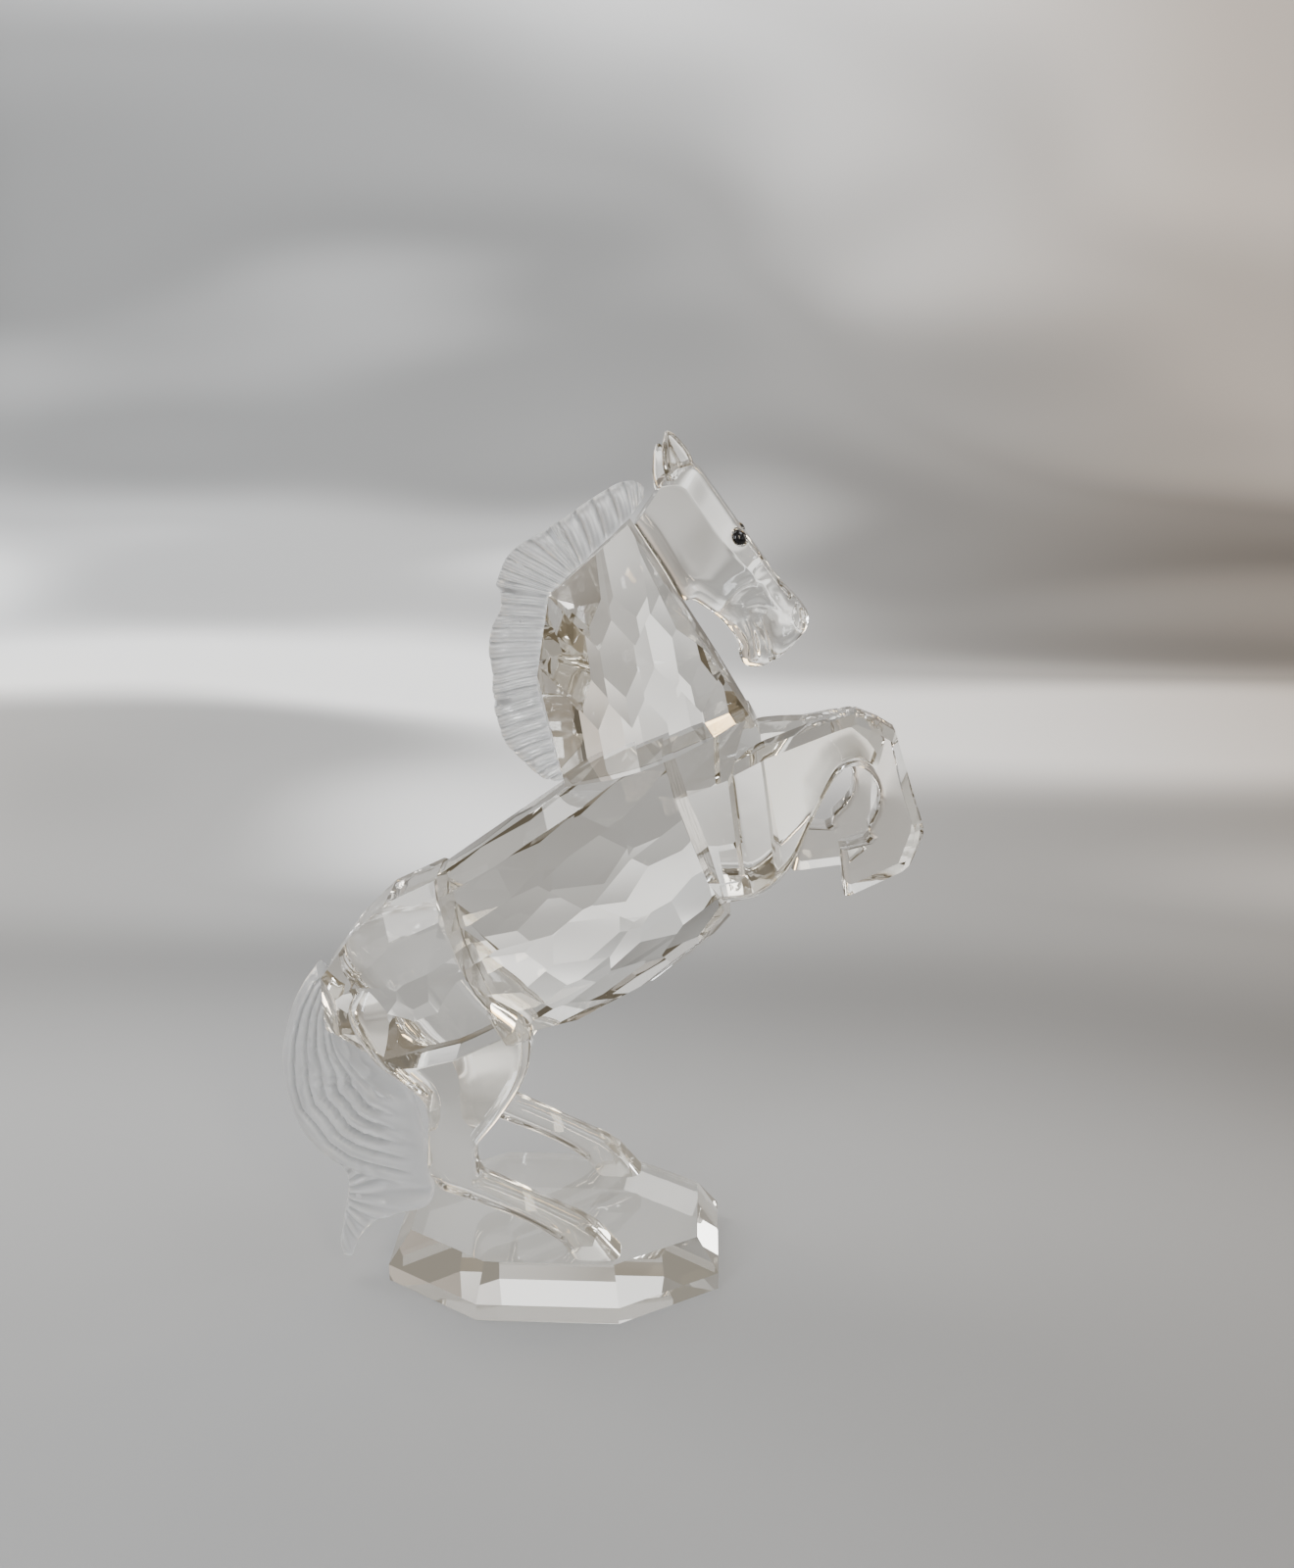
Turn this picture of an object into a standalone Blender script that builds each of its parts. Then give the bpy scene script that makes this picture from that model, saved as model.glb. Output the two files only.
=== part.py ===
"""Rearing horse figurine of cut crystal on an elongated octagonal foot plate.

The horse faces +X, its left side is +Y, and the origin is at the centre of the foot plate's underside.
The pose is drawn on a grid: one grid step is 1 mm at the modelled height, x runs along the foot plate
from its centre, and z runs up from the soles of the hooves. Widths across the horse are real sizes.
"""

import math

import bmesh
import bpy
from mathutils import Vector

# Driving dimensions in metres
FIGURE_HEIGHT = 0.117           # soles of the hooves to the tip of the near ear
SEAM = 0.0003                   # gap between two pieces that are glued face to face
ROOM = 0.00027                  # gap cut round a neighbour; under SEAM, so no cut lies in a seam's face
CORNER_REACH = 0.0000001        # a facet's plane this close to a corner already cut runs through that corner

BEVEL_RUN = 0.00325             # foot plate: width of the sloping bevel seen from above
BEVEL_DROP = 0.0050             # foot plate: height of the sloping bevel
CORNER_CUT_LENGTH = 0.0121      # foot plate: corner cut along the long side of the table
CORNER_CUT_DEPTH = 0.0070       # foot plate: corner cut along the short side of the table
HOOF_MARGIN = 0.0008            # foot plate: table left beside a hind hoof
TAIL_TIP_CLEARANCE = 0.00525    # tail tip to the foot plate's rim, along the plate
TAIL_TIP_HEIGHT = 0.0032        # tail tip above the surface the figure stands on

BODY_WIDTH = 0.0268
BODY_HEIGHT = 0.0304
RUMP_STEP = 0.0002              # how far the rump stands out beyond the barrel on each side
NECK_WIDTH = 0.0205             # across the seat of the neck
POLL_WIDTH = 0.0094             # across the top of the neck
CHEST_WIDTH = 0.0225
HEAD_WIDTH = 0.0118
MUZZLE_WIDTH = 0.0080
MANE_THICKNESS = 0.0036
MANE_GROOVE_DEPTH = 0.0005
TAIL_THICKNESS = 0.0064
TAIL_GROOVE_DEPTH = 0.0006
EYE_DIAMETER = 0.0021
EYE_BULGE = 0.0009              # half the thickness of an eye's lens

HIND_LEG_SPACING = 0.0210       # between the centres of the hind hooves
HIND_LEG_WIDTH = 0.0048
HOOF_WIDTH = 0.0053
FORELEG_SPACING = 0.0158        # between the centres of the forelegs
FORELEG_WIDTH = 0.0050
FORELEG_BEVEL = 0.0013          # chamfer along the front edges of a foreleg, seen from the side
FORELEG_INNER_BEVEL = 0.0005    # the same along its back edges
FORELEG_SIDE_BEVEL = 0.0010     # width of both chamfers seen from the front
FAR_HIND_LEG_LEAD = 0.0022      # how far the left hind hoof stands ahead of the right one
FAR_FORELEG_DROP = math.radians(10.5)
FAR_HOOF_FOLD = math.radians(8.0)

# Lengths that follow from the driving dimensions
STEP = FIGURE_HEIGHT / 117.0
RUMP_WIDTH = BODY_WIDTH + 2.0 * RUMP_STEP
TAIL_TIP = (-31.2, -4.55)       # grid place of the tail's lowest point
TAIL_TIP_RADIUS = 1.1           # in grid steps
BASE_HEIGHT = TAIL_TIP_HEIGHT - TAIL_TIP[1] * STEP
TABLE_DEPTH = HIND_LEG_SPACING + HOOF_WIDTH + 2.0 * HOOF_MARGIN
TABLE_LENGTH = 2.0 * (-(TAIL_TIP[0] + TAIL_TIP_RADIUS) * STEP - TAIL_TIP_CLEARANCE - BEVEL_RUN)
SOLE_HEIGHT = BASE_HEIGHT + SEAM

# Seams between the cut pieces, as a grid point and the direction of the seam's normal in degrees
REAR_SEAM = ((-10.7, 43.8), 24.0)
CHEST_SEAM = ((20.5, 63.2), 21.6)
NECK_SEAT = ((14.7, 74.6), 113.1)
HEAD_SEAM = ((19.4, 92.55), 32.9)
TAIL_SEAT = ((-33.4, 35.5), 178.0)

GLASS = (0.93, 0.925, 0.90, 1.0)
FROSTED = (0.88, 0.88, 0.86, 1.0)
JET = (0.012, 0.012, 0.014, 1.0)

# Angles between faces below which a piece is shaded smooth
SMOOTH_BELOW = math.radians(50.0)
RUMP_SMOOTH_BELOW = math.radians(24.0)
HEAD_SMOOTH_BELOW = math.radians(28.0)


def grid(x, y, z):
    """World point of a grid place; y is a real distance across the horse."""
    return Vector((x * STEP, y, SOLE_HEIGHT + z * STEP))


def unit(angle_in_plane, tilt=0.0):
    """Direction in the horse's long plane, tilted out of it by an angle towards -Y."""
    flat = math.cos(tilt)
    return Vector((flat * math.cos(angle_in_plane), -math.sin(tilt), flat * math.sin(angle_in_plane)))


def material(name, colour, roughness, transmission):
    made = bpy.data.materials.new(name)
    made.use_nodes = True
    shader = made.node_tree.nodes["Principled BSDF"]
    shader.inputs["Base Color"].default_value = colour
    shader.inputs["Roughness"].default_value = roughness
    shader.inputs["Metallic"].default_value = 0.0
    shader.inputs["Transmission Weight"].default_value = transmission
    shader.inputs["IOR"].default_value = 1.52
    return made


def add_object(name, bm, finish, sharp_angle=None):
    """Make an object of a bmesh; a sharp angle shades it smooth below that angle."""
    mesh = bpy.data.meshes.new(name)
    bm.to_mesh(mesh)
    bm.free()
    if sharp_angle is not None:
        mesh.shade_smooth()
        mesh.set_sharp_from_angle(angle=sharp_angle)
    obj = bpy.data.objects.new(name, mesh)
    bpy.context.scene.collection.objects.link(obj)
    if finish is not None:
        mesh.materials.append(finish)
    return obj


def guide(obj):
    """Mark an object as a form that only cuts or joins another one."""
    obj.hide_render = True
    obj.display_type = "WIRE"
    return obj


def combine(target, other, operation):
    modifier = target.modifiers.new(operation.lower() + " " + other.name, "BOOLEAN")
    modifier.operation = operation
    modifier.solver = "EXACT"
    modifier.object = other


def polyhedron(planes, centre, reach, inflate=0.0):
    """Closed convex solid: what lies behind every plane, each given as a point and an outward normal."""
    bm = bmesh.new()
    bmesh.ops.create_cube(bm, size=2.0 * reach)
    bmesh.ops.translate(bm, verts=bm.verts, vec=centre)
    for point, normal in planes:
        parts = bm.verts[:] + bm.edges[:] + bm.faces[:]
        cut = bmesh.ops.bisect_plane(
            bm,
            geom=parts,
            dist=CORNER_REACH,
            plane_co=point + inflate * normal,
            plane_no=normal,
            clear_outer=True,
        )
        rim = [item for item in cut["geom_cut"] if isinstance(item, bmesh.types.BMEdge)]
        if rim:
            bmesh.ops.edgeloop_fill(bm, edges=rim)
    bmesh.ops.recalc_face_normals(bm, faces=bm.faces)
    return bm


def seam_plane(seam, side, gap=0.5 * SEAM):
    """Plane of a seam for the piece behind it (side 1) or before it (side -1), backed off by the gap."""
    (x, z), degrees = seam
    normal = side * unit(math.radians(degrees))
    return grid(x, 0.0, z) - gap * normal, normal


def mirrored(direction, side):
    """Unit vector of a direction drawn for the left side (side 1), for either side."""
    return Vector((direction[0], side * direction[1], direction[2])).normalized()


def edge_normals(outline):
    """Grid point and outward direction in degrees of each edge of a grid outline listed clockwise."""
    result = []
    for (x0, z0), (x1, z1) in zip(outline, outline[1:]):
        result.append(((0.5 * (x0 + x1), 0.5 * (z0 + z1)), math.atan2(x1 - x0, -(z1 - z0))))
    return result


def rounded_edges(outline, centre, half_width, tilts):
    """Planes that round an outline across the horse, like the tangent planes of an ellipse.

    Each edge of the outline gives one plane square to the long plane and, on each side, one for each tilt.
    """
    planes = []
    middle = grid(centre[0], 0.0, centre[1])
    for (x, z), angle in edge_normals(outline):
        reach = (grid(x, 0.0, z) - middle).dot(unit(angle))
        for tilt in tilts:
            support = math.hypot(reach * math.cos(tilt), half_width * math.sin(tilt))
            for side in ((1.0, -1.0) if tilt else (1.0,)):
                normal = unit(angle, side * tilt)
                planes.append((middle + support * normal, normal))
    return planes


def loft(rings):
    """Closed solid through rings of points, with flat caps."""
    bm = bmesh.new()
    rows = [[bm.verts.new(point) for point in ring] for ring in rings]
    count = len(rows[0])
    for row, following in zip(rows, rows[1:]):
        for i in range(count):
            j = (i + 1) % count
            bm.faces.new((row[i], row[j], following[j], following[i]))
    bm.faces.new(rows[0])
    bm.faces.new(rows[-1])
    bmesh.ops.recalc_face_normals(bm, faces=bm.faces)
    if bm.calc_volume(signed=True) < 0.0:
        bmesh.ops.reverse_faces(bm, faces=bm.faces)
    return bm


def flowing(rows, steps):
    """Rows of numbers, with steps - 1 more between each two on a smooth curve through all of them."""
    result = []
    for i in range(len(rows) - 1):
        before = rows[max(i - 1, 0)]
        start = rows[i]
        end = rows[i + 1]
        after = rows[min(i + 2, len(rows) - 1)]
        for k in range(steps):
            t = k / steps
            row = []
            for p, a, b, n in zip(before, start, end, after):
                curve = 2.0 * a + (b - p) * t + (2.0 * p - 5.0 * a + 4.0 * b - n) * t * t
                row.append(0.5 * (curve + (3.0 * a - p - 3.0 * b + n) * t ** 3))
            result.append(row)
    result.append(list(rows[-1]))
    return result


def section(low, high, middle, half, outline):
    """Ring of a section whose outline runs from -1 (low) to 1 (high) along it and across it."""
    ring = []
    for along, across in outline:
        point = low.lerp(high, 0.5 * (along + 1.0))
        point.y = middle + across * half
        ring.append(point)
    return ring


def rounded_outline(length, width, radius):
    """Outline of a flat-sided section with rounded corners, from real lengths."""
    corner = []
    for angle in (0.0, 0.25 * math.pi, 0.5 * math.pi):
        along = 1.0 - 2.0 * radius * (1.0 - math.cos(angle)) / length
        across = 1.0 - 2.0 * radius * (1.0 - math.sin(angle)) / width
        corner.append((along, across))
    half = corner + [(-u, v) for u, v in reversed(corner)]
    return half + [(u, -v) for u, v in reversed(half)]


def chamfered_outline(length, width):
    """Outline of a flat-sided section whose corners are cut, more on its high side than on its low one."""
    low = -1.0 + 2.0 * FORELEG_INNER_BEVEL / length
    high = 1.0 - 2.0 * FORELEG_BEVEL / length
    side = 1.0 - 2.0 * FORELEG_SIDE_BEVEL / width
    half = [(-1.0, side), (low, 1.0), (high, 1.0), (1.0, side)]
    return half + [(u, -v) for u, v in reversed(half)]


# Foot plate


def octagon(length, depth, cut_x, cut_y, z):
    half_x = 0.5 * length
    half_y = 0.5 * depth
    quarter = [(half_x, half_y - cut_y), (half_x - cut_x, half_y)]
    around = quarter + [(-x, y) for x, y in reversed(quarter)]
    around += [(-x, -y) for x, y in around]
    return [Vector((x, y, z)) for x, y in around]


def make_base(finish):
    lean = math.atan2(CORNER_CUT_DEPTH, CORNER_CUT_LENGTH)
    grow_x = BEVEL_RUN * math.tan(0.5 * (0.5 * math.pi - lean))
    grow_y = BEVEL_RUN * math.tan(0.5 * lean)
    cut_x = CORNER_CUT_LENGTH + BEVEL_RUN - grow_y
    cut_y = CORNER_CUT_DEPTH + BEVEL_RUN - grow_x
    length = TABLE_LENGTH + 2.0 * BEVEL_RUN
    depth = TABLE_DEPTH + 2.0 * BEVEL_RUN
    rings = [octagon(length, depth, cut_x, cut_y, z) for z in (0.0, BASE_HEIGHT - BEVEL_DROP)]
    rings.append(octagon(TABLE_LENGTH, TABLE_DEPTH, CORNER_CUT_LENGTH, CORNER_CUT_DEPTH, BASE_HEIGHT))
    return add_object("base", loft(rings), finish)


# Body

BARREL_CENTRE = (5.5, 52.4)
BARREL_SLOPE = math.radians(36.0)
BARREL_ROWS = 16
BARREL_STAGGER = 0.0058         # along the barrel, from one row's facets to the next row's
BARREL_BOW = 0.060              # radius of the barrel's long curve at its sides and belly
BARREL_BOW_SPREAD = 0.9         # how soon the straight back gives way to that curve
BARREL_SWAY = 0.30              # unevenness of the facets' places, as a share of the rows' spacing


def body_planes():
    """Rows of facets round the barrel, staggered from row to row; its back is straight, its belly bowed."""
    centre = grid(BARREL_CENTRE[0], 0.0, BARREL_CENTRE[1])
    along = unit(BARREL_SLOPE)
    up = unit(BARREL_SLOPE + 0.5 * math.pi)
    across = Vector((0.0, 1.0, 0.0))
    planes = []
    for row in range(BARREL_ROWS):
        turn = 2.0 * math.pi * row / BARREL_ROWS
        side_row = min(row, BARREL_ROWS - row)
        spread = min(BARREL_BOW_SPREAD * (1.0 - math.cos(turn)), 1.0)
        bow = spread / (2.0 * BARREL_BOW)
        for place in ((-3.0, -1.0, 1.0, 3.0) if row % 2 else (-2.0, 0.0, 2.0)):
            sway = BARREL_SWAY * spread * math.sin(turn) * math.sin(5.1 * side_row + 2.3 * place)
            angle = turn + 2.0 * math.pi * sway / BARREL_ROWS
            rise = 0.5 * BODY_HEIGHT * math.cos(angle)
            side = 0.5 * BODY_WIDTH * math.sin(angle)
            radial = math.cos(angle) / (0.5 * BODY_HEIGHT) * up + math.sin(angle) / (0.5 * BODY_WIDTH) * across
            radial.normalize()
            shift = (place + BARREL_SWAY * spread * math.cos(3.7 * side_row + 1.3 * place)) * BARREL_STAGGER
            point = centre + rise * up + side * across - bow * shift * shift * radial + shift * along
            planes.append((point, (radial + 2.0 * bow * shift * along).normalized()))
    return planes


def body_solid(inflate=0.0):
    planes = body_planes()
    planes += [seam_plane(CHEST_SEAM, 1.0), seam_plane(REAR_SEAM, -1.0), seam_plane(NECK_SEAT, 1.0)]
    return polyhedron(planes, grid(BARREL_CENTRE[0], 0.0, BARREL_CENTRE[1]), FIGURE_HEIGHT, inflate)


# Neck

NECK_OUTLINE = [(2.6, 69.0), (-1.2, 84.6), (0.6, 95.6), (11.0, 105.1)]
NECK_CENTRE = (12.0, 88.0)
NECK_BASE = (15.2, 74.8)
POLL = (9.6, 104.5)
NECK_WIDEST = 0.4               # share of the neck's length where its sides bulge most
CREST_BEVEL = math.radians(42.0)
CREST_WIDTH = 0.0254            # width of the oval that the crest's bevels follow
FRONT_BEVEL = math.radians(45.0)
FRONT_WIDTH = 0.0088            # flat strip down the front of the neck, halfway along it
FRONT_TAPER = 0.09              # how fast each edge of that strip closes in towards the poll
NECK_BOW_ALONG = 0.080          # radius of the side of the neck along it
NECK_BOW_ACROSS = 0.0125        # radius of the side of the neck across it
NECK_FAN = 0.0096               # half the spread of the facets at the seat
NECK_FAN_CLOSING = 0.62         # share of that spread lost at the poll

# Rows of facets on the side of the neck: distance from the seat as a share of its length, number of facets
NECK_ROWS = ((0.07, 5), (0.40, 4), (0.76, 3))


def neck_planes():
    """Crest strips, front bevels and, on each side, rows of long facets that fan out from the poll."""
    planes = [seam_plane(NECK_SEAT, -1.0), seam_plane(HEAD_SEAM, 1.0)]
    planes += rounded_edges(NECK_OUTLINE, NECK_CENTRE, 0.5 * CREST_WIDTH, (0.0, CREST_BEVEL))
    (x, z), degrees = HEAD_SEAM
    for side in (1.0, -1.0):
        edge = (unit(math.radians(degrees + 90.0)) + Vector((0.0, side * FRONT_TAPER, 0.0))).normalized()
        normal = unit(math.radians(degrees), side * FRONT_BEVEL)
        normal = (normal - edge * normal.dot(edge)).normalized()
        planes.append((grid(x, -side * 0.5 * FRONT_WIDTH, z), normal))
    seat = grid(NECK_BASE[0], 0.0, NECK_BASE[1])
    poll = grid(POLL[0], 0.0, POLL[1])
    along = (poll - seat).normalized()
    across = Vector((along.z, 0.0, -along.x))
    length = (poll - seat).length
    lean = 0.5 * (NECK_WIDTH - POLL_WIDTH) / length
    for share, count in NECK_ROWS:
        reach = share * length
        spread = NECK_FAN * (1.0 - NECK_FAN_CLOSING * share)
        past = reach - NECK_WIDEST * length
        slope_along = -lean - past / NECK_BOW_ALONG
        for i in range(count):
            v = spread * (2.0 * i / (count - 1) - 1.0)
            height = 0.5 * NECK_WIDTH - lean * reach - 0.5 * past * past / NECK_BOW_ALONG
            height -= 0.5 * v * v / NECK_BOW_ACROSS
            for side in (1.0, -1.0):
                point = seat + reach * along + v * across + Vector((0.0, side * height, 0.0))
                normal = Vector((0.0, side, 0.0)) - slope_along * along + v / NECK_BOW_ACROSS * across
                planes.append((point, normal.normalized()))
    return planes


def neck_solid(inflate=0.0):
    return polyhedron(neck_planes(), grid(NECK_CENTRE[0], 0.0, NECK_CENTRE[1]), FIGURE_HEIGHT, inflate)


# Hindquarters

RUMP_OUTLINE = [
    (-4.4, 34.0), (-13.5, 29.5), (-25.5, 26.4), (-33.1, 31.4),
    (-33.5, 39.6), (-28.4, 46.8), (-23.2, 52.1), (-16.0, 55.7),
]
RUMP_CENTRE = (-18.5, 41.0)
RUMP_TILTS = (0.0, math.radians(33.0), math.radians(58.0))
FLANK_CENTRE = (-17.9, 43.8)

# Facets round the small flank facet: direction, distance in grid steps, fall away from it in degrees
FLANK_FACETS = (
    (0.0, 2.2, 26.0), (60.0, 2.9, 27.0), (120.0, 2.9, 27.0),
    (180.0, 2.2, 23.0), (240.0, 2.9, 13.0), (300.0, 2.9, 13.0),
)

# Hind leg: back edge x z, front edge x z, thickness as a share, share of the way out to the hoof
HIND_LEG = [
    (-25.5, 43.0, -11.5, 45.2, 1.15, 0.00),
    (-27.8, 37.9, -6.6, 41.0, 1.86, 0.00),
    (-24.9, 31.4, -2.6, 36.9, 1.85, 0.15),
    (-20.6, 27.6, -2.3, 32.0, 1.70, 0.30),
    (-18.0, 25.0, -3.7, 27.4, 1.55, 0.45),
    (-17.2, 21.8, -6.8, 22.4, 1.35, 0.65),
    (-17.4, 18.1, -9.9, 18.1, 1.20, 0.85),
    (-17.5, 13.8, -10.2, 15.4, 1.15, 1.00),
    (-15.8, 10.7, -9.7, 12.7, 1.05, 1.00),
    (-11.6, 8.8, -7.4, 11.5, 0.95, 1.00),
    (-5.0, 5.9, -3.2, 9.4, 0.90, 1.00),
    (-0.6, 3.4, 1.4, 7.1, 0.96, 1.00),
    (1.6, 1.8, 4.6, 5.5, 1.02, 1.00),
]
HIND_HOOF = [
    (2.0, 1.2, 6.9, 3.9, 1.04, 1.00),
    (3.1, 0.0, 10.3, 0.0, HOOF_WIDTH / HIND_LEG_WIDTH, 1.00),
]
THIGH_INSET = 0.0050            # side of the rump to the middle of the thigh's thickness
HIND_LEG_ROUNDING = 0.30        # radius of the leg's edges as a share of its thickness


def rump_planes():
    planes = [seam_plane(REAR_SEAM, 1.0)]
    planes += rounded_edges(RUMP_OUTLINE, RUMP_CENTRE, 0.5 * RUMP_WIDTH, RUMP_TILTS)
    planes.append(seam_plane(TAIL_SEAT, 1.0))
    for side in (1.0, -1.0):
        centre = grid(FLANK_CENTRE[0], -side * 0.5 * RUMP_WIDTH, FLANK_CENTRE[1])
        planes.append((centre, Vector((0.0, -side, 0.0))))
        for turn, distance, fall in FLANK_FACETS:
            direction = math.radians(turn)
            edge = centre + distance * STEP * unit(direction)
            planes.append((edge, unit(direction, side * math.radians(90.0 - fall))))
    return planes


def hind_leg_rings(side):
    """Right leg as drawn; the left one reaches further forward towards its hoof."""
    rings = []
    start = 0.5 * RUMP_WIDTH - THIGH_INSET
    for back_x, back_z, front_x, front_z, share, out in flowing(HIND_LEG, 2) + HIND_HOOF:
        middle = start + out * (0.5 * HIND_LEG_SPACING - start)
        lead = Vector((out * FAR_HIND_LEG_LEAD if side > 0.0 else 0.0, 0.0, 0.0))
        low = grid(back_x, 0.0, back_z) + lead
        high = grid(front_x, 0.0, front_z) + lead
        width = share * HIND_LEG_WIDTH
        outline = rounded_outline((high - low).length, width, HIND_LEG_ROUNDING * width)
        rings.append(section(low, high, side * middle, 0.5 * width, outline))
    return rings


def make_hindquarters(finish):
    rump = polyhedron(rump_planes(), grid(RUMP_CENTRE[0], 0.0, RUMP_CENTRE[1]), FIGURE_HEIGHT)
    obj = add_object("hindquarters", rump, finish, RUMP_SMOOTH_BELOW)
    for side, name in ((1.0, "left"), (-1.0, "right")):
        leg = add_object("hind_leg_form_" + name, loft(hind_leg_rings(side)), finish, SMOOTH_BELOW)
        combine(obj, guide(leg), "UNION")
    cutter = add_object("body_room_form", body_solid(ROOM), None)
    combine(obj, guide(cutter), "DIFFERENCE")
    return obj


# Chest and forelegs

CHEST_OUTLINE = [
    (15.0, 75.2), (28.4, 80.9), (28.9, 77.4), (32.4, 71.0), (33.0, 62.6),
    (32.0, 56.4), (28.9, 53.4), (24.4, 52.4), (20.0, 52.4),
]
CHEST_CENTRE = (22.0, 68.0)
CHEST_BEVEL = math.radians(38.0)

# Foreleg: notch side x z, outer side x z
FORELEG = [
    (24.4, 55.6, 20.6, 71.0),
    (29.2, 56.6, 24.8, 75.0),
    (33.0, 60.4, 29.4, 77.6),
    (35.6, 66.8, 34.4, 79.7),
    (38.2, 72.8, 38.2, 81.3),
    (40.2, 74.8, 41.0, 82.3),
    (42.0, 74.8, 43.8, 81.2),
    (43.5, 73.4, 46.0, 79.9),
    (44.4, 71.2, 47.7, 74.8),
    (44.3, 69.2, 49.0, 71.0),
    (43.3, 66.6, 50.1, 67.9),
    (43.6, 65.2, 50.5, 66.6),
]
FOREHOOF = [
    (43.0, 64.5, 50.5, 65.9),
    (39.6, 63.5, 50.4, 65.1),
    (40.5, 56.8, 49.0, 61.3),
]
ELBOW = (26.0, 68.0)
KNEE = (43.5, 76.5)
SHOULDER_ROWS = 3               # rows over which the leg frees itself from the chest
KNEE_ROW = 5
KNEE_ROWS = 3
FAR_SHIFT = (-1.2, -1.4)        # left foreleg against the right one, besides its swing


def turned(x, z, pivot, angle):
    """Grid point swung clockwise about a pivot."""
    dx = x - pivot[0]
    dz = z - pivot[1]
    c = math.cos(angle)
    s = math.sin(angle)
    return pivot[0] + dx * c + dz * s, pivot[1] + dz * c - dx * s


def foreleg_rings(side):
    """Near leg as drawn; the far one is the same leg swung down at the elbow and folded at the knee."""
    rings = []
    for i, (in_x, in_z, out_x, out_z) in enumerate(FORELEG + FOREHOOF):
        points = [(in_x, in_z), (out_x, out_z)]
        if side > 0.0:
            free = min(i / SHOULDER_ROWS, 1.0)
            fold = FAR_HOOF_FOLD * min(max((i - KNEE_ROW) / KNEE_ROWS, 0.0), 1.0)
            points = [turned(x, z, KNEE, fold) for x, z in points]
            points = [turned(x, z, ELBOW, free * FAR_FORELEG_DROP) for x, z in points]
            points = [(x + free * FAR_SHIFT[0], z + free * FAR_SHIFT[1]) for x, z in points]
        low = grid(points[0][0], 0.0, points[0][1])
        high = grid(points[1][0], 0.0, points[1][1])
        outline = chamfered_outline((high - low).length, FORELEG_WIDTH)
        rings.append(section(low, high, 0.5 * side * FORELEG_SPACING, 0.5 * FORELEG_WIDTH, outline))
    return rings


def chest_planes():
    planes = [seam_plane(CHEST_SEAM, -1.0), seam_plane(NECK_SEAT, 1.0)]
    planes += rounded_edges(CHEST_OUTLINE, CHEST_CENTRE, 0.5 * CHEST_WIDTH, (0.0, CHEST_BEVEL))
    for side in (1.0, -1.0):
        point = grid(CHEST_CENTRE[0], side * 0.5 * CHEST_WIDTH, CHEST_CENTRE[1])
        planes.append((point, Vector((0.0, side, 0.0))))
    return planes


def make_forelegs(finish):
    chest = polyhedron(chest_planes(), grid(CHEST_CENTRE[0], 0.0, CHEST_CENTRE[1]), FIGURE_HEIGHT)
    obj = add_object("forelegs", chest, finish)
    for side, name in ((1.0, "left"), (-1.0, "right")):
        leg = add_object("foreleg_form_" + name, loft(foreleg_rings(side)), finish)
        combine(obj, guide(leg), "UNION")
    cutter = add_object("barrel_room_form", body_solid(ROOM), None)
    combine(obj, guide(cutter), "DIFFERENCE")
    return obj


# Head

CHEEK = [(-1.0, 0.30), (-0.86, 0.72), (-0.62, 0.96), (-0.2, 1.0), (0.56, 1.0), (0.93, 0.60), (1.0, 0.46)]
MUZZLE = [(-1.0, 0.34), (-0.84, 0.72), (-0.50, 0.96), (0.0, 1.0), (0.45, 0.92), (0.82, 0.64), (1.0, 0.26)]

# Head: jaw side x z, forehead side x z, half width as a share of the head's, share of the muzzle's section
HEAD = [
    (11.8, 104.9, 16.4, 111.8, 0.78, 0.00),
    (13.6, 102.1, 19.4, 112.6, 0.86, 0.00),
    (15.7, 98.9, 21.9, 109.7, 0.96, 0.00),
    (18.0, 95.4, 24.3, 106.5, 1.00, 0.00),
    (19.3, 95.3, 26.5, 103.6, 1.00, 0.10),
    (20.8, 94.4, 28.5, 101.0, 0.95, 0.25),
    (22.8, 93.0, 30.1, 98.9, 0.86, 0.45),
    (24.6, 91.1, 31.9, 96.8, 0.78, 0.70),
    (25.7, 89.3, 33.6, 95.1, 0.74, 0.90),
    (25.9, 87.7, 34.9, 93.2, 0.72, 1.00),
    (26.6, 86.5, 34.7, 91.4, 0.66, 1.00),
    (28.0, 86.1, 33.4, 89.7, 0.52, 1.00),
    (29.6, 86.6, 32.0, 88.3, 0.34, 1.00),
]
NOSE_SHARE = 0.72               # the table's width share where the muzzle has its full width
NOSTRIL = (33.5, 93.4)
NOSTRIL_SPACING = 0.0033
NOSTRIL_RADIUS = 0.0009
NOSTRIL_HEIGHT = 1.9            # its height as a share of its width
NOSTRIL_DIRECTION = (0.5, 1.0, -0.1)

MOUTH_OPENING = 0.0011
MOUTH_DEPTH = 0.0014            # depth of the cut into the lips

# Mouth: x z, distance from the head's middle as a share of its width, opening and depth as shares
MOUTH = (
    (30.6, 86.2, 0.203, 1.0, 1.0),
    (29.7, 89.4, 0.280, 0.73, 0.71),
    (28.7, 92.9, 0.314, 0.27, 0.29),
)

# Ears: side of the head, base x z, tip x z
EARS = ((-1.0, (18.1, 110.9), (16.0, 117.0)), (1.0, (16.3, 108.8), (14.7, 114.7)))
EAR_WIDTH = 0.0048
EAR_FOOT = 0.24                 # shares of the head's width from its middle to an ear's foot and tip
EAR_SPLAY = 0.34
EAR_OPENING = (0.72, 0.70, 0.0)
EAR_CUP = 0.55                  # depth of the hollow as a share of the ear's thickness
EAR_POINTS = 12

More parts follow.
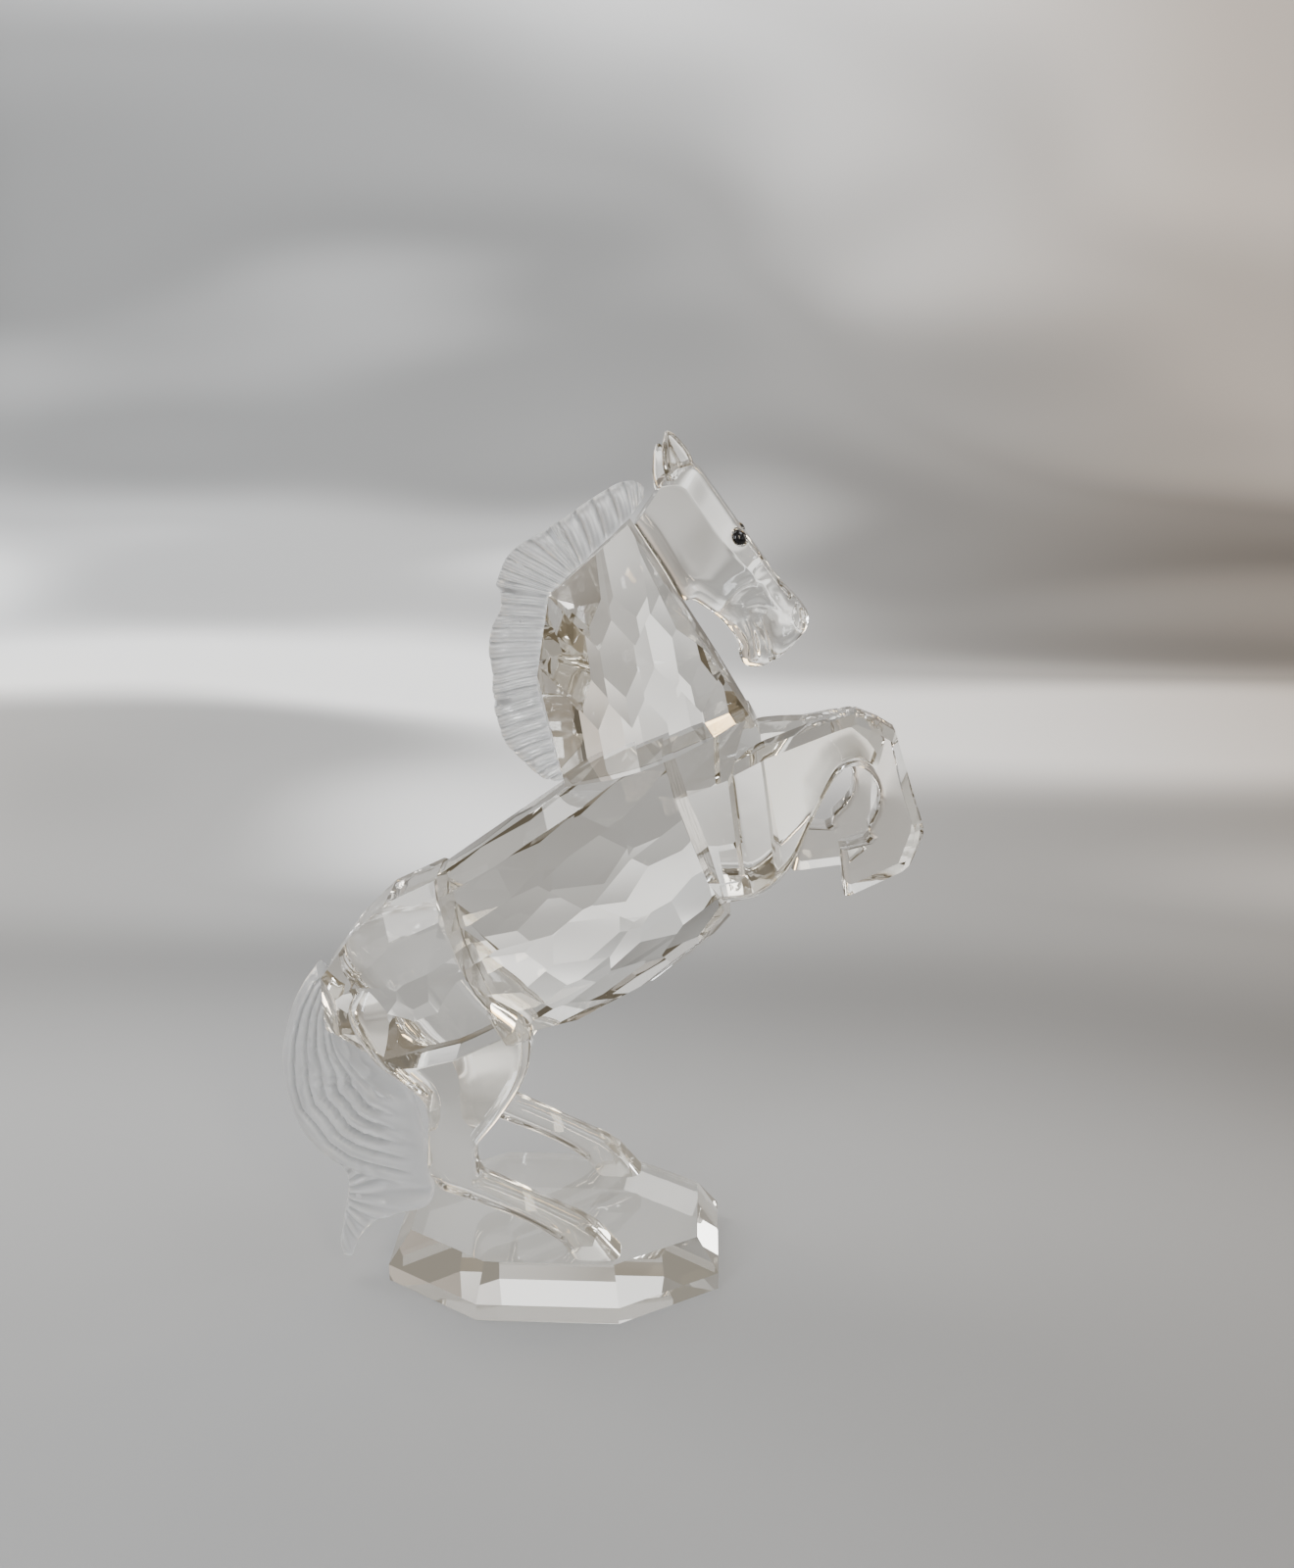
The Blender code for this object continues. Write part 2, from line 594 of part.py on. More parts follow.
# Ear: share of its length, width as a share, thickness as a share
EAR_SECTIONS = (
    (0.0, 0.84, 0.50), (0.18, 1.0, 0.48), (0.42, 0.96, 0.42),
    (0.66, 0.72, 0.34), (0.86, 0.42, 0.24), (1.0, 0.10, 0.12),
)
EYE_PLACE = (25.4, 103.8)
EYE_SHARE = 0.311               # share of the head's width from its middle to an eye
EYE_DIRECTION = (0.60, 0.65, 0.46)


def head_rings():
    muzzle_share = MUZZLE_WIDTH / HEAD_WIDTH / NOSE_SHARE
    rings = []
    for low_x, low_z, high_x, high_z, share, muzzle in flowing(HEAD, 2):
        blend = min(max(muzzle, 0.0), 1.0)
        half = 0.5 * HEAD_WIDTH * share * (1.0 + blend * (muzzle_share - 1.0))
        right = []
        for (u0, v0), (u1, v1) in zip(CHEEK, MUZZLE):
            right.append((u0 + blend * (u1 - u0), v0 + blend * (v1 - v0)))
        outline = right + [(u, -v) for u, v in reversed(right)]
        rings.append(section(grid(low_x, 0.0, low_z), grid(high_x, 0.0, high_z), 0.0, half, outline))
    return rings


def ear_rings(side, base, tip):
    """A cupped leaf: the ear's opening faces forwards and outwards."""
    foot = grid(base[0], side * EAR_FOOT * HEAD_WIDTH, base[1])
    point = grid(tip[0], side * EAR_SPLAY * HEAD_WIDTH, tip[1])
    axis = (point - foot).normalized()
    opening = mirrored(EAR_OPENING, side)
    opening = (opening - axis * opening.dot(axis)).normalized()
    sideways = axis.cross(opening)
    rings = []
    for reach, spread, thickness in EAR_SECTIONS:
        centre = foot.lerp(point, reach)
        half = 0.5 * EAR_WIDTH * spread
        deep = 0.5 * EAR_WIDTH * thickness
        ring = []
        for i in range(EAR_POINTS):
            angle = 2.0 * math.pi * i / EAR_POINTS
            cup = EAR_CUP * max(math.cos(angle), 0.0) ** 3 * min(4.0 * reach, 1.0)
            outwards = deep * (math.cos(angle) - cup)
            ring.append(centre + half * math.sin(angle) * sideways + outwards * opening)
        rings.append(ring)
    return rings


def eye_frame(side):
    """Place and outward direction of an eye on the bevel between the cheek and the forehead."""
    return grid(EYE_PLACE[0], side * EYE_SHARE * HEAD_WIDTH, EYE_PLACE[1]), mirrored(EYE_DIRECTION, side)


def lens(centre, normal, radius, depth, height=1.0):
    """Lens facing along a direction; height is its upright radius as a share of the level one."""
    bm = bmesh.new()
    bmesh.ops.create_uvsphere(bm, u_segments=12, v_segments=6, radius=1.0)
    turn = normal.to_track_quat("Z", "X")
    for vert in bm.verts:
        vert.co = centre + turn @ Vector((vert.co.x * radius * height, vert.co.y * radius, vert.co.z * depth))
    return bm


def mouth_rings(side):
    """Wedge that parts the lips on one side; it closes towards the corner of the mouth."""
    first = grid(MOUTH[0][0], 0.0, MOUTH[0][1])
    last = grid(MOUTH[-1][0], 0.0, MOUTH[-1][1])
    along = (last - first).normalized()
    across = Vector((along.z, 0.0, -along.x))
    rings = []
    for x, z, out, opening, depth in MOUTH:
        centre = grid(x, side * out * HEAD_WIDTH, z)
        half = 0.5 * opening * MOUTH_OPENING * across
        deep = Vector((0.0, depth * MOUTH_DEPTH, 0.0))
        rings.append([centre + half, centre + deep, centre - half, centre - deep])
    return rings


def make_head(finish):
    obj = add_object("head", loft(head_rings()), finish, HEAD_SMOOTH_BELOW)
    for side, base, tip in EARS:
        name = "ear_form_left" if side > 0.0 else "ear_form_right"
        ear = add_object(name, loft(ear_rings(side, base, tip)), finish, SMOOTH_BELOW)
        combine(obj, guide(ear), "UNION")
    for side, name in ((1.0, "left"), (-1.0, "right")):
        centre, normal = eye_frame(side)
        socket = lens(centre, normal, 0.5 * EYE_DIAMETER + SEAM, EYE_BULGE + SEAM)
        combine(obj, guide(add_object("socket_form_" + name, socket, None)), "DIFFERENCE")
        place = grid(NOSTRIL[0], side * NOSTRIL_SPACING, NOSTRIL[1])
        outwards = mirrored(NOSTRIL_DIRECTION, side)
        nostril = lens(place, outwards, NOSTRIL_RADIUS, NOSTRIL_RADIUS, NOSTRIL_HEIGHT)
        combine(obj, guide(add_object("nostril_form_" + name, nostril, None)), "DIFFERENCE")
        combine(obj, guide(add_object("mouth_form_" + name, loft(mouth_rings(side)), None)), "DIFFERENCE")
    return obj


def make_eye(name, side, finish):
    centre, normal = eye_frame(side)
    return add_object(name, lens(centre, normal, 0.5 * EYE_DIAMETER, EYE_BULGE), finish, SMOOTH_BELOW)


# Mane

# Locks of the mane: edge on the neck x z, free edge x z
MANE_LOCKS = [
    [
        (13.0, 108.4, 13.1, 109.5), (12.2, 107.2, 11.9, 110.3), (11.1, 105.8, 9.8, 110.1),
        (9.0, 103.6, 7.4, 108.8), (6.8, 101.6, 4.9, 107.2), (5.0, 99.8, 2.2, 105.3), (4.3, 99.2, 0.7, 104.5),
    ],
    [
        (4.2, 99.1, 0.3, 104.0), (3.2, 98.2, -3.1, 102.1), (2.0, 97.0, -5.0, 100.4),
        (1.1, 96.2, -6.0, 98.3), (0.5, 95.6, -6.6, 96.6),
    ],
    [
        (0.3, 95.2, -6.0, 95.8), (0.1, 93.2, -6.1, 93.4), (-0.3, 91.0, -7.3, 90.9), (-0.7, 88.3, -7.8, 87.8),
        (-1.0, 86.0, -7.4, 84.5), (-1.2, 84.0, -7.5, 82.4), (-1.1, 82.4, -7.2, 80.8),
    ],
    [
        (-1.0, 82.0, -7.4, 79.8), (-0.4, 79.7, -6.8, 77.5), (0.2, 77.2, -6.0, 74.9), (0.9, 74.4, -3.8, 72.4),
        (1.6, 71.6, -1.1, 69.9), (2.2, 69.9, 1.2, 69.5),
    ],
]
MANE_RIDGES = (7, 6, 9, 8)
MANE_RIDGE_STEPS = 4
MANE_HALF_SECTION = [(-1.0, 0.9), (-0.35, 1.0), (0.3, 0.94), (0.78, 0.66), (1.0, 0.24)]


def mane_rings():
    outline = MANE_HALF_SECTION + [(u, -v) for u, v in reversed(MANE_HALF_SECTION)]
    rings = []
    for lock, ridges in zip(MANE_LOCKS, MANE_RIDGES):
        rows = flowing(lock, math.ceil(ridges * MANE_RIDGE_STEPS / (len(lock) - 1)))
        for i, (in_x, in_z, out_x, out_z) in enumerate(rows):
            wave = 0.5 - 0.5 * math.cos(2.0 * math.pi * ridges * i / (len(rows) - 1))
            half = 0.5 * MANE_THICKNESS - MANE_GROOVE_DEPTH * (1.0 - wave)
            low = grid(in_x, 0.0, in_z)
            high = grid(out_x, 0.0, out_z)
            rings.append(section(low, high, 0.0, half, outline))
    return rings


def make_mane(finish):
    obj = add_object("mane", loft(mane_rings()), finish, SMOOTH_BELOW)
    cutter = add_object("neck_room_form", neck_solid(ROOM), None)
    combine(obj, guide(cutter), "DIFFERENCE")
    return obj


# Tail

# Tail: outer edge x z, inner edge x z, distance towards the horse's right, thickness as a share
TAIL = [
    (-34.6, 40.6, -31.6, 33.6, 0.0, 0.80),
    (-36.9, 37.4, -31.6, 29.8, 0.4, 0.85),
    (-38.7, 33.6, -29.6, 26.0, 0.8, 0.95),
    (-40.4, 27.3, -24.8, 23.0, 1.5, 1.00),
    (-40.3, 22.2, -21.4, 20.2, 2.2, 1.00),
    (-39.1, 18.1, -19.9, 16.0, 3.0, 0.98),
    (-37.7, 14.8, -18.7, 11.6, 3.6, 0.96),
    (-35.1, 11.9, -18.4, 7.9, 4.2, 0.90),
    (-31.8, 9.4, -18.2, 5.1, 4.8, 0.70),
    (-30.9, 7.3, -19.4, 3.1, 5.5, 0.72),
    (-30.9, 5.7, -23.4, 2.1, 6.0, 0.66),
    (-31.4, 3.3, -26.6, 1.2, 6.5, 0.58),
    (-31.8, 0.5, -28.3, -0.1, 7.0, 0.50),
    (-32.3, -2.2, -29.6, -2.0, 7.4, 0.42),
    (TAIL_TIP[0] - 0.7, -4.3, TAIL_TIP[0] + 0.6, TAIL_TIP[1], 7.6, 0.24),
]
TAIL_RIDGES = 6
TAIL_POINTS = 26
TAIL_FULLNESS = 0.7             # 1 for an oval section, less for a fuller one


def tail_rings():
    rings = []
    for out_x, out_z, in_x, in_z, aside, share in flowing(TAIL, 2):
        outline = []
        for i in range(TAIL_POINTS):
            angle = 2.0 * math.pi * (i + 0.5) / TAIL_POINTS
            c = math.cos(angle)
            s = math.sin(angle)
            body = math.copysign(abs(s) ** TAIL_FULLNESS, s)
            wave = 0.5 - 0.5 * math.cos(math.pi * TAIL_RIDGES * (c + 1.0))
            depth = TAIL_GROOVE_DEPTH / (0.5 * TAIL_THICKNESS * share)
            outline.append((c, body * (1.0 - depth * (1.0 - wave))))
        low = grid(in_x, 0.0, in_z)
        high = grid(out_x, 0.0, out_z)
        rings.append(section(low, high, -aside * STEP, 0.5 * TAIL_THICKNESS * share, outline))
    return rings


def make_tail(finish):
    obj = add_object("tail", loft(tail_rings()), finish, SMOOTH_BELOW)
    room = polyhedron(rump_planes(), grid(RUMP_CENTRE[0], 0.0, RUMP_CENTRE[1]), FIGURE_HEIGHT, ROOM)
    combine(obj, guide(add_object("rump_room_form", room, None)), "DIFFERENCE")
    return obj


def main():
    for obj in list(bpy.data.objects):
        bpy.data.objects.remove(obj, do_unlink=True)
    pieces = ("base", "hindquarters", "body", "forelegs", "neck", "head")
    glass = [material("clear crystal " + name, GLASS, 0.02, 1.0) for name in pieces]
    frosted = [material("frosted crystal " + name, FROSTED, 0.55, 0.6) for name in ("mane", "tail")]
    jet = [material("black glass " + name, JET, 0.05, 0.0) for name in ("left", "right")]
    make_base(glass[0])
    make_hindquarters(glass[1])
    add_object("body", body_solid(), glass[2])
    make_forelegs(glass[3])
    add_object("neck", neck_solid(), glass[4])
    make_head(glass[5])
    make_mane(frosted[0])
    make_tail(frosted[1])
    make_eye("eye_left", 1.0, jet[0])
    make_eye("eye_right", -1.0, jet[1])


main()
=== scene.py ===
import math

import bmesh
import bpy
import numpy as np
from mathutils import Matrix, Vector


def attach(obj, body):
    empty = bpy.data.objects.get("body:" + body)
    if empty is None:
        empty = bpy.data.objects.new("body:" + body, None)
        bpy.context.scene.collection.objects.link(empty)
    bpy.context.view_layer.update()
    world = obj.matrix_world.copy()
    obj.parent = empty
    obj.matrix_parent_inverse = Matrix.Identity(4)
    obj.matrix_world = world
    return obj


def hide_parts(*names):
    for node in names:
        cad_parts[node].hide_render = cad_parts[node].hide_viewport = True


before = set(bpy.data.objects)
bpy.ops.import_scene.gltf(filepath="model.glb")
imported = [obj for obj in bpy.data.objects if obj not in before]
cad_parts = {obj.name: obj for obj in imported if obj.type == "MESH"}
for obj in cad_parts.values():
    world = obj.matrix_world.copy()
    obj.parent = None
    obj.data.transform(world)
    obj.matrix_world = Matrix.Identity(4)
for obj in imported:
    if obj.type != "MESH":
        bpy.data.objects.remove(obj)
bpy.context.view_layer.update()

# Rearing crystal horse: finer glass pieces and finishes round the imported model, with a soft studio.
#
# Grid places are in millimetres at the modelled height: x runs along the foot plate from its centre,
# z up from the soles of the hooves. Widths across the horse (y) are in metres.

MM = 0.001
SOLE_HEIGHT = 8.05 * MM
SEAM = 0.3 * MM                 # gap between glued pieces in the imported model
OVERLAP = 0.03 * MM             # the glass pieces meet with this overlap, so that a seam is clear like glue

# Camera of the photograph: place, right, up and forward directions, lens
CAMERA_PLACE = (0.0200, -0.1840, 0.14005)
CAMERA_RIGHT = (0.99934528, 0.03602928, 0.00330245)
CAMERA_UP = (-0.01479301, 0.3235963, 0.94607959)
CAMERA_FORWARD = (-0.0330179, 0.94550903, -0.32391742)
CAMERA_LENS = 32.175

# Widths of the pieces in metres
BODY_WIDTH = 0.0268
BODY_HEIGHT = 0.0304
RUMP_WIDTH = 0.0272
HEAD_WIDTH = 0.0118
MUZZLE_WIDTH = 0.0080
HIND_LEG_SPACING = 0.0210
HIND_LEG_WIDTH = 0.0048
HOOF_WIDTH = 0.0053
FORELEG_SPACING = 0.0158
FORELEG_WIDTH = 0.0050
CHEST_WIDTH = 0.0225
FAR_HIND_LEG_LEAD = 0.0022
FAR_FORELEG_DROP = math.radians(10.5)
FAR_HOOF_FOLD = math.radians(8.0)
MANE_THICKNESS = 0.0036
TAIL_THICKNESS = 0.0064

# Seams: grid point and direction of the normal in degrees
REAR_SEAM = ((-10.7, 43.8), 24.0)
CHEST_SEAM = ((20.5, 63.2), 21.6)
NECK_SEAT = ((14.7, 74.6), 113.1)
HEAD_SEAM = ((19.4, 92.55), 32.9)
TAIL_SEAT = ((-33.4, 35.5), 178.0)


def grid(x, y, z):
    """World point of a grid place."""
    return Vector((x * MM, y, SOLE_HEIGHT + z * MM))


def unit(angle, tilt=0.0):
    """Direction in the horse's long plane, tilted out of it towards -Y."""
    flat = math.cos(tilt)
    return Vector((flat * math.cos(angle), -math.sin(tilt), flat * math.sin(angle)))


# Mesh tools

BLANK_REACH = 0.12              # half size of the block that cut pieces start from
CUT_TOLERANCE = 1e-8            # a corner this close to a cut lies on it


def mesh_object(name, bm):
    """Object in the scene with a finished mesh, which is used up."""
    mesh = bpy.data.meshes.new(name)
    bm.to_mesh(mesh)
    bm.free()
    obj = bpy.data.objects.new(name, mesh)
    bpy.context.scene.collection.objects.link(obj)
    return obj


def combined(name, first, others):
    """First object with the others joined to it or cut from it; all of them are used up."""
    for other, operation in others:
        modifier = first.modifiers.new(operation.lower(), "BOOLEAN")
        modifier.operation = operation
        modifier.solver = "EXACT"
        modifier.object = other
    bpy.context.view_layer.update()
    evaluated = first.evaluated_get(bpy.context.evaluated_depsgraph_get())
    mesh = bpy.data.meshes.new_from_object(evaluated)
    mesh.name = name
    result = bpy.data.objects.new(name, mesh)
    bpy.context.scene.collection.objects.link(result)
    for used in [first] + [other for other, operation in others]:
        bpy.data.objects.remove(used, do_unlink=True)
    return result


def shade(obj, degrees):
    """Shade smooth where faces meet at less than an angle."""
    obj.data.shade_smooth()
    obj.data.set_sharp_from_angle(angle=math.radians(degrees))


def show(obj, finish, slot, *nodes):
    """Put a finish on a piece that stands for CAD nodes."""
    obj.data.materials.clear()
    obj.data.materials.append(finish)
    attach(obj, "root")
    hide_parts(*nodes)


def polyhedron(planes, centre):
    """Closed convex solid behind every plane, each a point and an outward normal."""
    bm = bmesh.new()
    bmesh.ops.create_cube(bm, size=2.0 * BLANK_REACH)
    bmesh.ops.translate(bm, verts=bm.verts, vec=centre)
    for point, normal in planes:
        cut = bmesh.ops.bisect_plane(
            bm, geom=bm.verts[:] + bm.edges[:] + bm.faces[:], dist=CUT_TOLERANCE,
            plane_co=point, plane_no=normal, clear_outer=True,
        )
        rim = [item for item in cut["geom_cut"] if isinstance(item, bmesh.types.BMEdge)]
        if rim:
            bmesh.ops.edgeloop_fill(bm, edges=rim)
    bmesh.ops.recalc_face_normals(bm, faces=bm.faces)
    return bm


def seam_plane(seam, side, gap=-0.5 * OVERLAP):
    """Plane of a seam for the piece on one side of it, set back by a gap."""
    (x, z), degrees = seam
    normal = side * unit(math.radians(degrees))
    return grid(x, 0.0, z) - gap * normal, normal


def rounded_edges(outline, centre, half_width, tilts):
    """Planes that round a grid outline across the horse, like the tangent planes of an ellipse."""
    planes = []
    middle = grid(centre[0], 0.0, centre[1])
    for (x0, z0), (x1, z1) in zip(outline, outline[1:]):
        angle = math.atan2(x1 - x0, -(z1 - z0))
        reach = (grid(0.5 * (x0 + x1), 0.0, 0.5 * (z0 + z1)) - middle).dot(unit(angle))
        for tilt in tilts:
            support = math.hypot(reach * math.cos(tilt), half_width * math.sin(tilt))
            for side in ((1.0, -1.0) if tilt else (1.0,)):
                normal = unit(angle, side * tilt)
                planes.append((middle + support * normal, normal))
    return planes


def loft(rings):
    """Closed solid through rings of points, with flat caps."""
    bm = bmesh.new()
    rows = [[bm.verts.new(point) for point in ring] for ring in rings]
    count = len(rows[0])
    for row, following in zip(rows, rows[1:]):
        for i in range(count):
            j = (i + 1) % count
            bm.faces.new((row[i], row[j], following[j], following[i]))
    bm.faces.new(rows[0])
    bm.faces.new(rows[-1])
    bmesh.ops.recalc_face_normals(bm, faces=bm.faces)
    if bm.calc_volume(signed=True) < 0.0:
        bmesh.ops.reverse_faces(bm, faces=bm.faces)
    return bm


def flowing(rows, steps):
    """Rows of numbers with steps - 1 more between each two, on a smooth curve through all of them."""
    result = []
    for i in range(len(rows) - 1):
        before = rows[max(i - 1, 0)]
        after = rows[min(i + 2, len(rows) - 1)]
        for k in range(steps):
            t = k / steps
            row = []
            for p, a, b, n in zip(before, rows[i], rows[i + 1], after):
                curve = 2.0 * a + (b - p) * t + (2.0 * p - 5.0 * a + 4.0 * b - n) * t * t
                row.append(0.5 * (curve + (3.0 * a - p - 3.0 * b + n) * t ** 3))
            result.append(row)
    result.append(list(rows[-1]))
    return result


def section(low, high, middle, half, outline):
    """Ring of points between two places of the long plane, from an outline of shares from -1 to 1."""
    ring = []
    for along, across in outline:
        point = low.lerp(high, 0.5 * (along + 1.0))
        point.y = middle + across * half
        ring.append(point)
    return ring


def mirrored(direction, side):
    """Direction for the left side (1) or the right side (-1) of the horse."""
    return Vector((direction[0], side * direction[1], direction[2])).normalized()


def rounded_outline(length, width, radius, steps=9):
    """Outline of a flat-sided section with rounded corners, from real lengths."""
    corner = []
    for i in range(steps + 1):
        angle = 0.5 * math.pi * i / steps
        along = 1.0 - 2.0 * radius * (1.0 - math.cos(angle)) / length
        across = 1.0 - 2.0 * radius * (1.0 - math.sin(angle)) / width
        corner.append((along, across))
    half = corner + [(-u, v) for u, v in reversed(corner)]
    return half + [(u, -v) for u, v in reversed(half)]


# Parts of the finishes


def new_material(name):
    """New material, its node tree and its shader."""
    made = bpy.data.materials.new(name)
    made.use_nodes = True
    return made, made.node_tree, made.node_tree.nodes["Principled BSDF"]


def object_place(tree):
    """Place on the object, in metres."""
    return tree.nodes.new("ShaderNodeTexCoord").outputs["Object"]


def noise(tree, place, scale, detail=2.0, distortion=0.0, seed=None):
    """Noise from 0 to 1; a seed sets it apart from the noise of other pieces."""
    node = tree.nodes.new("ShaderNodeTexNoise")
    if seed is not None:
        node.noise_dimensions = "4D"
        node.inputs["W"].default_value = seed
    node.inputs["Scale"].default_value = scale
    node.inputs["Detail"].default_value = detail
    node.inputs["Distortion"].default_value = distortion
    tree.links.new(place, node.inputs["Vector"])
    return node.outputs["Fac"]


def colours(tree, value, stops, interpolation="LINEAR"):
    """Colour that follows a value along stops, each a position and a colour, in rising order."""
    node = tree.nodes.new("ShaderNodeValToRGB")
    node.color_ramp.interpolation = interpolation
    elements = node.color_ramp.elements
    for i, (position, colour) in enumerate(stops):
        element = elements[i] if i < 2 else elements.new(position)
        element.position = position
        element.color = colour + (1.0,)
    tree.links.new(value, node.inputs["Fac"])
    return node.outputs["Color"]


def span(tree, value, low, high, start=0.0, end=1.0, interpolation="LINEAR"):
    """Number that passes from low to high while a value runs from start to end."""
    node = tree.nodes.new("ShaderNodeMapRange")
    node.interpolation_type = interpolation
    node.inputs["From Min"].default_value = start
    node.inputs["From Max"].default_value = end
    node.inputs["To Min"].default_value = low
    node.inputs["To Max"].default_value = high
    tree.links.new(value, node.inputs["Value"])
    return node.outputs["Result"]


def number(tree, operation, *values):
    """Result of a sum on values that are sockets or plain numbers."""
    node = tree.nodes.new("ShaderNodeMath")
    node.operation = operation
    for socket, value in zip(node.inputs, values):
        if isinstance(value, float):
            socket.default_value = value
        else:
            tree.links.new(value, socket)
    return node.outputs["Value"]


def product(tree, first, second, operation="MULTIPLY", socket=1):
    """One colour times another, or times a number with the operation SCALE."""
    node = tree.nodes.new("ShaderNodeVectorMath")
    node.operation = operation
    tree.links.new(first, node.inputs[0])
    tree.links.new(second, node.inputs[socket])
    return node.outputs["Vector"]


def bumps(tree, shader, height, strength, depth):
    """Fine relief on a shader's surface."""
    node = tree.nodes.new("ShaderNodeBump")
    node.inputs["Strength"].default_value = strength
    node.inputs["Distance"].default_value = depth
    tree.links.new(height, node.inputs["Height"])
    tree.links.new(node.outputs["Normal"], shader.inputs["Normal"])


# Finishes

CRYSTAL_INDEX = 1.56
CRYSTAL_TINT = (0.99, 0.982, 0.958)
CRYSTAL_DARKER_TINT = (0.978, 0.964, 0.926)
FROSTED_INDEX = 1.5
FROSTED_WHITE = (0.96, 0.962, 0.96)
FROSTED_DARKER_WHITE = (0.86, 0.86, 0.85)
# Painted shade in the grooves of the satin pieces
PAINTED_GROOVE_SHADE = (0.34, 0.34, 0.345)
JET_INDEX = 1.55
RIPPLE_HEIGHT = 0.5 * MM
GRAIN_HEIGHT = 0.05 * MM

# Painted glow: faint light given off by the clear crystal, standing in for light lost inside it; it lifts
# the dark corners where light is trapped
CRYSTAL_PAINTED_GLOW = (0.015, 0.012, 0.0075)
RUMP_PAINTED_GLOW = (0.026, 0.023, 0.018)
FOOT_PLATE_PAINTED_GLOW = (0.046, 0.042, 0.035)
# Painted glow of the satin pieces, standing in for light scattered in their etched skin
FROSTED_PAINTED_GLOW = (0.94, 0.97, 1.0)
FROSTED_PAINTED_GLOW_STRENGTH = 0.08


def crystal(name, seed, wave=0.0, glow=CRYSTAL_PAINTED_GLOW):
    """Clear crystal, faintly uneven and with a faint painted glow; moulded pieces are slightly wavy."""
    made, tree, shader = new_material(name)
    shader.inputs["Transmission Weight"].default_value = 1.0
    shader.inputs["IOR"].default_value = CRYSTAL_INDEX
    shader.inputs["Metallic"].default_value = 0.0
    # Painted glow: the crystal gives off a faint light of its own
    shader.inputs["Emission Color"].default_value = glow + (1.0,)
    shader.inputs["Emission Strength"].default_value = 1.0
    place = object_place(tree)
    cloud = noise(tree, place, 60.0, seed=seed)
    tint = colours(tree, cloud, ((0.3, CRYSTAL_DARKER_TINT), (0.7, CRYSTAL_TINT)))
    tree.links.new(tint, shader.inputs["Base Color"])
    tree.links.new(span(tree, cloud, 0.0, 0.02), shader.inputs["Roughness"])
    if wave:
        ripple = noise(tree, place, 260.0, detail=1.0, seed=seed + 7.0)
        bumps(tree, shader, ripple, wave, RIPPLE_HEIGHT)
    return made


def frosted(name, seed):
    """Satin crystal: whitish and translucent, with painted shade that darkens its grooves, a fine grain and
    a faint painted glow.
    """
    made, tree, shader = new_material(name)
    shader.inputs["Transmission Weight"].default_value = 0.92
    shader.inputs["IOR"].default_value = FROSTED_INDEX
    # Painted glow: the satin pieces give off a faint light of their own
    shader.inputs["Emission Color"].default_value = FROSTED_PAINTED_GLOW + (1.0,)
    shader.inputs["Emission Strength"].default_value = FROSTED_PAINTED_GLOW_STRENGTH
    place = object_place(tree)
    cloud = noise(tree, place, 180.0, detail=4.0, seed=seed)
    white = colours(tree, cloud, ((0.3, FROSTED_DARKER_WHITE), (0.7, FROSTED_WHITE)))
    # Painted shade: the colour darkens in the grooves, where the surface is hollow
    form = tree.nodes.new("ShaderNodeNewGeometry").outputs["Pointiness"]
    grooves = colours(tree, form, ((0.44, PAINTED_GROOVE_SHADE), (0.54, (1.0, 1.0, 1.0))))
    tree.links.new(product(tree, white, grooves), shader.inputs["Base Color"])
    tree.links.new(span(tree, cloud, 0.25, 0.33), shader.inputs["Roughness"])
    bumps(tree, shader, noise(tree, place, 4000.0), 0.15, GRAIN_HEIGHT)
    return made


def jet(name):
    """Black glass with a faint cloud in its colour and polish."""
    made, tree, shader = new_material(name)
    shader.inputs["IOR"].default_value = JET_INDEX
    cloud = noise(tree, object_place(tree), 900.0)
    black = colours(tree, cloud, ((0.0, (0.002, 0.002, 0.0025)), (1.0, (0.007, 0.007, 0.008))))
    tree.links.new(black, shader.inputs["Base Color"])
    tree.links.new(span(tree, cloud, 0.10, 0.16), shader.inputs["Roughness"])
    return made


# Barrel

BARREL_CENTRE = (5.5, 52.4)
BARREL_SLOPE = math.radians(36.0)
BARREL_ROWS = 16
BARREL_STAGGER = 0.0058
BARREL_BOW = 0.060
BARREL_BOW_SPREAD = 0.9
BARREL_SWAY = 0.30
BARREL_PLACES = ((-2.0, 0.0, 2.0), (-3.0, -1.0, 1.0, 3.0))

# Fixed unevenness of the barrel's facets: turns for each row and for each place in it
UNEVEN_ROUND = (5.1, 2.3)
UNEVEN_ALONG = (3.7, 1.3)


